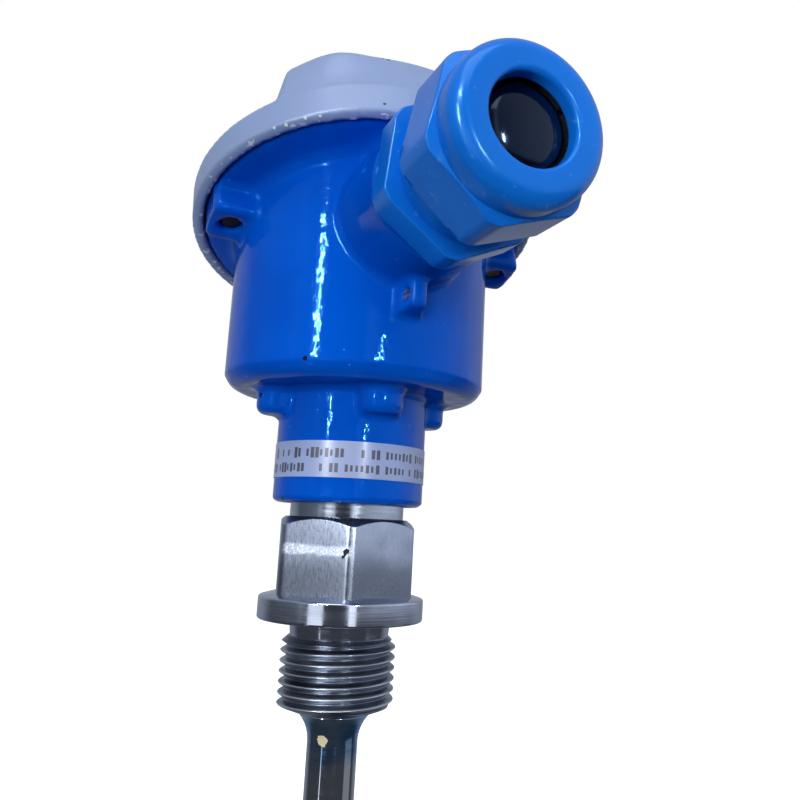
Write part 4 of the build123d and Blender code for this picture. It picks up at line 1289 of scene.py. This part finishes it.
@dataclass
class ProcessFitting:
    """Thermowell in one bar: stem, pipe thread, flange, hexagon and collar, in mm."""

    finishes: Finishes
    stem_radius: float = 4.5
    stem_end: float = -100.0
    stem_foot: float = -21.28
    foot_radius: float = 6.6
    flare_radius: float = 7.2
    bore_radius: float = 3.5
    bore_end: float = -97.0
    thread_radius: float = 10.4775
    thread_depth: float = 1.16
    pitch: float = 1.8143
    thread_top: float = -2.9
    thread_end: float = -16.2
    relief_radius: float = 9.2
    flange_radius: float = 15.15
    flange_thickness: float = 4.0
    hexagon: HexOutline = HexOutline(24.0, 16.5, 220.0, corner_radius=13.5)
    hex_foot: float = 4.75
    hex_top: float = 18.3
    cone_radius: float = 11.3
    collar_radius: float = 10.6
    spigot_radius: float = 11.95
    spigot_base: float = 22.7
    spigot_top: float = 32.2

    def build(self) -> None:
        """Builds and seats the fitting's pieces."""
        self._stem()
        self._thread()
        self._flange()
        self._hexagon()
        self._collar()

    def _stem(self) -> None:
        """Stem with its flared foot, bored from above."""
        form = TurnedForm("thermowell_stem", segments=128)
        form.profile([
            (0.0, self.stem_end, 0), (self.stem_radius, self.stem_end, 1.0),
            (self.stem_radius, self.stem_foot - 12, 0), (self.stem_radius, self.stem_foot, 0),
        ])
        steps, overlap = 12, 0.4
        swing = math.acos((self.flare_radius - (self.foot_radius - self.stem_radius)) / self.flare_radius)
        for step in range(1, steps + 1):
            turn = swing * step / steps
            out, up = self.flare_radius * (1 - math.cos(turn)), self.flare_radius * math.sin(turn)
            form.circle(self.stem_radius + out, self.stem_foot + up)
        form.circle(self.foot_radius - 0.1, self.thread_end + overlap)
        form.circle(self.bore_radius, self.thread_end + overlap)
        form.circle(self.bore_radius, self.bore_end)
        form.circle(0.0, self.bore_end)
        seat_form(form, self.finishes["stem"], Body.ROOT, Slot.STEEL, "thermowell", crease=40.0)

    def _thread(self) -> None:
        """Pipe thread, cut by a geometry node tree along its helix."""
        foot_share = 0.98
        obj = grown_piece("process_pipe_thread", thread_tree(), {
            "Major Radius": self.thread_radius * MM,
            "Depth": self.thread_depth * MM,
            "Pitch": self.pitch * MM,
            "Top": self.thread_top * MM,
            "Bottom": self.thread_end * MM,
            "Bore Radius": self.bore_radius * MM,
            "Foot Radius": self.foot_radius * MM * foot_share,
            "Relief Radius": self.relief_radius * MM,
            "Finish": self.finishes["thread"],
        })
        close_form(obj.data)
        smooth_weights(obj)
        seat(obj, Body.ROOT, Slot.STEEL)

    def _flange(self) -> None:
        """Flange, with its relief groove below and a step under the hexagon."""
        form = TurnedForm("process_flange", segments=192)
        foot = self.thread_top - 0.3
        form.profile([
            (self.bore_radius, foot, 0),
            (self.relief_radius - 0.25, foot, 0),
            (self.relief_radius, -0.5, 0.4),
            (self.relief_radius + 0.5, 0.0, 0.25),
            (self.flange_radius, 0.0, 0.42),
            (self.flange_radius, self.flange_thickness, 0.45),
            (self.collar_radius + 1.9, self.hex_foot, 0.5),
            (self.bore_radius, self.hex_foot, 0),
        ])
        seat_form(form, self.finishes["turned"], Body.ROOT, Slot.STEEL)

    def _hexagon(self) -> None:
        """Hexagon with its cone-cut top."""
        segments, slope = 360, -1.6 / 2.2
        form = TurnedForm("process_hexagon", segments=segments)
        foot = self.hex_foot - 0.9
        form.circle(self.bore_radius, foot)
        for height in (foot, self.hex_foot + 0.2, 8.0, 14.0):
            form.hexagon(self.hexagon, height)
        cone = TurnedForm("cone", segments=segments)
        cone.cone_cut(self.hexagon, self.cone_radius, self.hex_top, slope)
        form.rings.extend(reversed(cone.rings))
        form.circle(self.bore_radius, self.hex_top)
        seat_form(form, self.finishes["flats"], Body.ROOT, Slot.STEEL, crease=40.0)

    def _collar(self) -> None:
        """Collar over the hexagon and the spigot that goes into the head's neck."""
        form = TurnedForm("process_collar", segments=160)
        foot = self.hex_top - 0.5
        form.profile([
            (self.bore_radius, foot, 0),
            (self.collar_radius, foot, 0),
            (self.collar_radius, self.spigot_base - 0.2, 0.1),
            (self.spigot_radius - 0.3, self.spigot_base + 1.0, 0.3),
            (self.spigot_radius, self.spigot_base + 1.7, 0.2),
            (self.spigot_radius, self.spigot_top, 0.5),
            (self.bore_radius, self.spigot_top, 0),
        ])
        seat_form(form, self.finishes["collar"], Body.ROOT, Slot.STEEL)


@dataclass(frozen=True)
class Pull:
    """Soft shift of a casting's skin round one place, all in mm."""

    centre: Point
    reach: float
    shift: Point


@dataclass
class CastSkin:
    """Coated copy of a cast solid: soft edges, round walls trued up, in mm."""

    voxel: float = 0.53
    passes: int = 4
    kept: float = 0.3
    trued: float = 0.12

    def build(
        self, node: str, name: str, material: bpy.types.Material, rounds: Sequence[tuple[Matrix, float]],
        pulls: Sequence[Pull] = (),
    ) -> bpy.types.Object:
        """Remeshes a copy of the solid and softens it.

        Args:
            node: The CAD node.
            name: The piece's name.
            material: Its coating.
            rounds: Axis and radius of each round wall to true up.
            pulls: Soft shifts of its skin.

        Returns:
            The piece.
        """
        obj = copied_solid(node, name, material)
        remesh = obj.modifiers.new("remesh", "REMESH")
        remesh.mode = "VOXEL"
        remesh.voxel_size = self.voxel * MM
        remesh.use_smooth_shade = True
        smooth = obj.modifiers.new("smooth", "SMOOTH")
        smooth.factor = 0.5
        smooth.iterations = self.passes
        bake(obj)
        self._true_up(obj.data, rounds, pulls)
        coat(obj.data, material)
        for face in obj.data.polygons:
            face.use_smooth = True
        return obj

    def _true_up(
        self, mesh: bpy.types.Mesh, rounds: Sequence[tuple[Matrix, float]], pulls: Sequence[Pull],
    ) -> None:
        """Moves points near a round wall onto it, then pulls the skin.

        Args:
            mesh: The skin, changed in place.
            rounds: Axis and radius of each round wall.
            pulls: Soft shifts.
        """
        points = np.zeros(len(mesh.vertices) * 3, np.float32)
        mesh.vertices.foreach_get("co", points)
        points = points.reshape(-1, 3).astype(float)
        for place, radius in rounds:
            matrix = np.array(place)
            local = (points - matrix[:3, 3]) @ matrix[:3, :3]
            away = np.hypot(local[:, 0], local[:, 1])
            off = np.abs(away - radius * MM)
            share = np.clip((self.kept * MM - off) / ((self.kept - self.trued) * MM), 0, 1)
            scale = 1 + share * (radius * MM / np.maximum(away, SLIVER) - 1)
            local[:, :2] *= scale[:, None]
            points = local @ matrix[:3, :3].T + matrix[:3, 3]
        for pull in pulls:
            away = np.linalg.norm(points - np.array(pull.centre) * MM, axis=1)
            share = np.exp(-((away / (pull.reach * MM)) ** 2))
            points = points + share[:, None] * np.array(pull.shift) * MM
        mesh.vertices.foreach_set("co", points.astype(np.float32).ravel())
        mesh.update()


@dataclass
class ConnectionHead:
    """Cast housing and lid, with the gasket and screws between them, in mm and degrees."""

    finishes: Finishes
    seat_height: float = 73.4
    tilt: float = 18.2
    lid_offset: float = 1.9
    drum_radius: float = 24.6
    neck_radius: float = 14.0
    rim_radius: float = 31.0
    lid_radius: float = 33.4
    lid_corner: Pull = Pull((-15.5, -22.3, 96.9), 6.0, (-0.2, -1.4, 0.55))

    @property
    def seat_place(self) -> Matrix:
        """Axis of the round lid, square to its seat.

        Returns:
            Its matrix.
        """
        z = Vector((0, math.sin(math.radians(self.tilt)), math.cos(math.radians(self.tilt))))
        origin = Vector((0, 0, self.seat_height)) - z.cross(Vector((1, 0, 0))) * self.lid_offset
        return axis_place(tuple(origin), z)

    def build(self) -> None:
        """Builds and seats the head's pieces."""
        upright = Matrix.Identity(4)
        walls = [(upright, self.drum_radius), (upright, self.neck_radius), (self.seat_place, self.rim_radius)]
        housing = CastSkin().build("head_housing", "housing_casting", self.finishes["blue_coat"], walls)
        seat(housing, Body.ROOT, Slot.BLUE_COATING, "head_housing")
        walls = [(self.seat_place, self.lid_radius)]
        lid = CastSkin().build("lid", "lid_casting", self.finishes["grey_coat"], walls, [self.lid_corner])
        seat(lid, Body.LID, Slot.GREY_COATING, "lid")
        dress_solid("lid_gasket", self.finishes["silicone"], Body.LID, Slot.SILICONE)
        dress_solid("lid_screw_left", self.finishes["lid_screw"], Body.SCREW_LEFT, Slot.ZINC_STEEL)
        dress_solid("lid_screw_right", self.finishes["lid_screw"], Body.SCREW_RIGHT, Slot.ZINC_STEEL)
        dress_solid("earth_screw", self.finishes["zinc"], Body.EARTH_SCREW, Slot.ZINC_STEEL)
        dress_solid("type_label", self.finishes["film"], Body.ROOT, Slot.LABEL_FILM)


@dataclass
class CableGland:
    """Plastic gland with its nut, stopper and inner rings, in mm along its axis."""

    finishes: Finishes
    height: float = 69.9
    bore_radius: float = 8.0
    body_hex: HexOutline = HexOutline(24.4, 24.5, 130.0, corner_flats=27.0)
    body_start: float = 24.8
    body_radius: float = 9.95
    hex_start: float = 39.0
    hex_stop: float = 44.6
    thread_radius: float = 10.6
    thread_end: float = 58.0
    nut_hex: HexOutline = HexOutline(24.4, 18.8, 90.0, corner_flats=27.0)
    nut_start: float = 49.7
    nut_hex_end: float = 60.0
    nut_end: float = 65.3
    nut_bore: float = 10.7
    cone_radius: float = 8.8
    dome_radius: float = 11.85
    dome_corner: float = 3.2
    hole_radius: float = 6.65
    stopper_start: float = 51.4
    stopper_radius: float = 5.85
    stopper_neck: float = 60.6
    stopper_head: float = 6.6
    stopper_edge: tuple[float, float] = (61.2, 61.7)
    stopper_dome: float = 2.0

    @property
    def place(self) -> Matrix:
        """The gland's axis, pointing outwards."""
        return axis_place((0, 0, self.height), Vector((0, -1, 0)))

    def build(self) -> None:
        """Builds and seats the gland's pieces."""
        self._body()
        self._nut()
        self._stopper()
        dress_solid("gland_washer", self.finishes["rubber"], Body.ROOT, Slot.RUBBER)
        dress_solid("gland_seal", self.finishes["rubber"], Body.ROOT, Slot.RUBBER)
        dress_solid("gland_claw_ring", self.finishes["module"], Body.GLAND_CLAMP, Slot.MODULE_PLASTIC)

    def _body(self) -> None:
        """Threaded stub, hexagon with soft edges, and outer thread of the body."""
        form = TurnedForm("gland_entry_body", self.place, 360)
        form.profile([
            (self.bore_radius, self.body_start, 0), (self.body_radius, self.body_start, 0.8),
            (self.body_radius, self.hex_start, 0),
        ])
        for rise, inset in ((0.0, 0.35), (0.1, 0.12), (0.35, 0.0)):
            form.hexagon(self.body_hex, self.hex_start + rise, inset)
        for drop, inset in ((0.3, 0.0), (0.08, 0.1), (0.0, 0.35)):
            form.hexagon(self.body_hex, self.hex_stop - drop, inset)
        form.profile([
            (self.thread_radius, self.hex_stop, 0), (self.thread_radius, self.thread_end, 0.3),
            (self.bore_radius, self.thread_end, 0),
        ])
        seat_form(form, self.finishes["gland"], Body.ROOT, Slot.GLAND_PLASTIC, "gland_body")

    def _nut(self) -> None:
        """Domed clamping nut with its hexagon."""
        form = TurnedForm("gland_domed_nut", self.place, 360)
        inner_cone = self.nut_end - self.dome_corner
        dome_foot, skirt = self.nut_hex_end + 0.1, 11.4
        form.profile([
            (self.cone_radius, inner_cone, 0), (self.hole_radius, self.nut_end - 2.6, 0.4),
            (self.hole_radius, self.nut_end, 0.8), (self.dome_radius, self.nut_end, self.dome_corner),
            (self.dome_radius, dome_foot, 0),
        ], steps=14)
        form.cone_cut(self.nut_hex, self.dome_radius, dome_foot - 0.05, -0.35, edge=0.18)
        for rise, inset in ((1.9, 0.0), (1.2, 0.0), (1.0, 0.25)):
            form.hexagon(self.nut_hex, self.nut_start + rise, inset)
        form.profile([
            (skirt, self.nut_start + 1.0, 0), (skirt, self.nut_start, 0.3),
            (self.nut_bore, self.nut_start, 0), (self.nut_bore, self.nut_end - 5.0, 0),
            (self.cone_radius, inner_cone, 0),
        ])
        seat_form(form, self.finishes["gland"], Body.GLAND_NUT, Slot.GLAND_PLASTIC, "gland_nut")

    def _stopper(self) -> None:
        """Glossy stopper that closes the gland, slightly domed."""
        form = TurnedForm("gland_stopper", self.place, 160)
        form.circle(0.0, self.stopper_start)
        form.circle(self.stopper_radius, self.stopper_start)
        form.circle(self.stopper_radius, self.stopper_neck)
        low, high = self.stopper_edge
        form.circle(self.stopper_head, low)
        form.circle(self.stopper_head, high)
        steps = 16
        for step in range(1, steps + 1):
            turn = math.pi / 2 * step / steps
            radius = self.stopper_head * math.cos(turn) if step < steps else 0.0
            form.circle(radius, high + self.stopper_dome * math.sin(turn))
        seat_form(form, self.finishes["plug"], Body.ROOT, Slot.BLACK_PLASTIC, "gland_plug", closed=False)


@dataclass
class MeasuringInsert:
    """Insert plate, sheath, transmitter, terminals, leads, screws and springs, in mm and degrees."""

    finishes: Finishes
    terminal_ring: float = 17.0
    terminal_spread: float = 35.0
    terminal_head: float = 2.2
    terminal_head_height: float = 1.4
    terminal_shank: float = 1.2
    terminal_depth: float = 4.0
    terminal_slot: float = 0.6

    def build(self) -> None:
        """Builds the terminal screws and dresses the insert's solids; the springs keep their mesh."""
        self._terminals()
        dress_solid("insert_plate", self.finishes["bright"], Body.INSERT, Slot.STEEL)
        dress_solid("insert_sheath", self.finishes["bright"], Body.INSERT, Slot.STEEL)
        dress_solid("transmitter", self.finishes["module"], Body.INSERT, Slot.MODULE_PLASTIC)
        dress_solid("lead_wires", self.finishes["sleeve"], Body.INSERT, Slot.WIRE_SLEEVE)
        for side in ("left", "right"):
            dress_solid(f"insert_screw_{side}", self.finishes["zinc"], Body.ROOT, Slot.ZINC_STEEL)
            coat(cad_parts[f"insert_spring_{side}"].data, self.finishes["bright"])

    def _terminals(self) -> None:
        """Terminal screws, set round the transmitter by a geometry node tree."""
        top = max(vertex.co.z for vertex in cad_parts["terminal_screws"].data.vertices)
        obj = grown_piece("terminal_screw_ring", terminal_tree(), {
            "Ring Radius": self.terminal_ring * MM,
            "Spread": math.radians(self.terminal_spread),
            "Level": top - self.terminal_head_height * MM,
            "Head Radius": self.terminal_head * MM,
            "Head Height": self.terminal_head_height * MM,
            "Shank Radius": self.terminal_shank * MM,
            "Depth": self.terminal_depth * MM,
            "Slot Width": self.terminal_slot * MM,
            "Finish": self.finishes["brass"],
        })
        smooth_weights(obj, CREASE)
        seat(obj, Body.INSERT, Slot.BRASS, "terminal_screws")


# Studio


@dataclass(frozen=True)
class SoftLight:
    """Rectangular light in metres and watts, aimed at a height on the probe's axis."""

    name: str
    spot: Point
    size: tuple[float, float]
    power: float
    aim: float
    in_gloss: bool = True
    in_diffuse: bool = True


@dataclass
class Studio:
    """Camera at the photograph's place, soft lights and a pale floor."""

    turn: float = 18.7
    distance: float = 156.717
    height: float = 17.227
    lens: float = 36.432
    shift: tuple[float, float] = (-0.0701, -0.0284)
    forward: Point = (0.12254875, 0.97535411, 0.18348341)
    right: Point = (0.99037081, -0.13217905, 0.04116269)
    up: Point = (-0.06440086, -0.17667218, 0.98216061)
    tint: Rgb = (0.9, 0.98, 1.12)
    light_colour: Rgb = (0.95, 0.98, 1.0)
    ceiling: float = 0.45
    dark_foot: float = 0.07
    pale_foot: float = 0.3
    room: tuple[tuple[float, float], ...] = (
        (-180, 0.4), (-125, 0.4), (-108, 0.18), (-62, 0.3), (-55, 0.6), (-48, 0.3), (-28, 0.1), (-4, 0.06),
        (6, 0.08), (10, 1.0), (13, 1.0), (17, 0.35), (45, 0.75), (90, 0.9), (120, 0.75), (145, 0.35),
        (180, 0.4),
    )
    lights: tuple[SoftLight, ...] = (
        SoftLight("strip_left", (-0.81, -0.58, 0.285), (0.011, 0.27), 6.4, 0.05, in_diffuse=False),
        SoftLight("strip_right", (0.03, -1.0, 0.2), (0.012, 0.12), 2.2, 0.04, in_diffuse=False),
        SoftLight("low_left", (-0.79, -0.61, -0.1), (0.36, 0.26), 0.42, 0.0),
        SoftLight("low_right", (-0.05, -1.0, -0.1), (0.17, 0.26), 0.18, 0.0),
        SoftLight("stem_left", (-0.134, -0.066, -0.072), (0.006, 0.05), 0.002, -0.035, in_diffuse=False),
        SoftLight("stem_right", (0.134, -0.067, -0.072), (0.1, 0.05), 0.004, -0.035, in_diffuse=False),
        SoftLight("front_fill", (-0.72, -0.9, -0.05), (0.9, 0.7), 13.0, 0.04, in_gloss=False),
        SoftLight("edge_light", (-0.62, -0.62, 0.62), (0.24, 0.016), 4.5, 0.06, in_diffuse=False),
        SoftLight("top_softbox", (-0.3, -0.55, 1.0), (0.8, 0.8), 4.4, 0.05),
    )
    floor_size: float = 12.0
    floor_level: float = -0.1002

    def _turned(self, x: float, y: float, z: float) -> Vector:
        """Turns a direction round the probe's axis by the camera's turn."""
        cosine, sine = math.cos(math.radians(self.turn)), math.sin(math.radians(self.turn))
        return Vector((x * cosine + y * sine, -x * sine + y * cosine, z))

    def build(self) -> None:
        """Builds camera, lights, world and floor."""
        self._camera()
        for light in self.lights:
            self._light(light)
        self._world()
        self._floor()

    def _camera(self) -> None:
        """Camera with a small shift and no depth of field."""
        data = bpy.data.cameras.new("camera")
        obj = bpy.data.objects.new("camera", data)
        bpy.context.scene.collection.objects.link(obj)
        axes = (self._turned(*self.right), self._turned(*self.up), -self._turned(*self.forward))
        matrix = Matrix(axes).transposed().to_4x4()
        matrix.translation = self._turned(0, -self.distance, self.height) * MM
        obj.matrix_world = matrix
        data.sensor_width = 36.0
        data.lens = self.lens
        data.shift_x, data.shift_y = self.shift
        data.clip_start = 0.005
        data.clip_end = 50.0
        bpy.context.scene.camera = obj

    def _light(self, light: SoftLight) -> None:
        """Adds one rectangular light.

        Args:
            light: The light.
        """
        data = bpy.data.lights.new(light.name, "AREA")
        data.shape = "RECTANGLE"
        data.size, data.size_y = light.size
        data.energy = light.power
        data.color = self.light_colour
        obj = bpy.data.objects.new(light.name, data)
        bpy.context.scene.collection.objects.link(obj)
        look = (Vector((0, 0, light.aim)) - Vector(light.spot)).normalized()
        obj.matrix_world = Matrix.Translation(light.spot) @ look.to_track_quat("-Z", "Y").to_matrix().to_4x4()
        obj.visible_camera = False
        obj.visible_glossy = light.in_gloss
        obj.visible_diffuse = light.in_diffuse

    def _world(self) -> None:
        """White to the camera, a soft room with a darker front for reflections and light."""
        world = bpy.data.worlds.new("studio")
        bpy.context.scene.world = world
        world.use_nodes = True
        graph = Graph(world.node_tree)
        place = graph.add("ShaderNodeTexCoord").outputs["Generated"]
        rise = graph.split(place)[2]
        across = graph.along(place, self._turned(1, 0, 0))
        ahead = graph.along(place, self._turned(0, -1, 0))
        bearing = graph.line(graph.math("ARCTAN2", across, ahead), 0.5 / math.pi, 0.5)
        band = graph.add("ShaderNodeValToRGB", Fac=bearing)
        stops = band.color_ramp.elements
        while len(stops) > 1:
            stops.remove(stops[-1])
        for number, (degrees, level) in enumerate(self.room):
            share = (degrees + 180) / 360
            stop = stops[0] if number == 0 else stops.new(share)
            stop.position = share
            stop.color = opaque(self.tint, level)
        feet = (opaque(self.tint, self.dark_foot), opaque(self.tint, self.pale_foot))
        foot = graph.mix(graph.ramp(ahead, -0.3, -0.75), *feet)
        low = graph.mix(graph.ramp(rise, -0.02, -0.16), band.outputs[0], foot)
        room = graph.mix(graph.ramp(rise, 0.25, 0.9), low, opaque(self.tint, self.ceiling))
        seen = graph.add("ShaderNodeLightPath").outputs["Is Camera Ray"]
        background = world.node_tree.nodes["Background"]
        graph.feed(background.inputs["Color"], graph.mix(seen, room, (1, 1, 1, 1)))
        background.inputs["Strength"].default_value = 1.0

    def _floor(self) -> None:
        """Plain pale floor under the stem's tip."""
        mesh = bpy.data.meshes.new("studio_floor")
        low, high = -self.floor_size, self.floor_size
        corners = [(x, y, self.floor_level) for x, y in ((low, low), (high, low), (high, high), (low, high))]
        mesh.from_pydata(corners, [], [(0, 1, 2, 3)])
        finish = Finish("pale_floor")
        grain = finish.graph.noise(finish.place, 8.0)
        pale = finish.graph.mix(grain, (0.9, 0.9, 0.92, 1), (0.94, 0.94, 0.96, 1))
        finish.set(Base_Color=pale, Roughness=0.9, Emission_Color=(1, 1, 1, 1), Emission_Strength=0.75)
        obj = new_piece("studio_floor", mesh, finish.material)
        obj.visible_glossy = False
        obj.visible_diffuse = False


def main() -> None:
    """Builds every sub-assembly in order."""
    logging.basicConfig(level=logging.INFO, format="%(name)s: %(message)s")
    finishes = Finishes()
    for assembly in (ProcessFitting, ConnectionHead, CableGland, MeasuringInsert):
        assembly(finishes).build()
    Studio().build()
    scene = bpy.context.scene
    scene.view_settings.view_transform = "Standard"


if __name__ == "__main__":
    main()
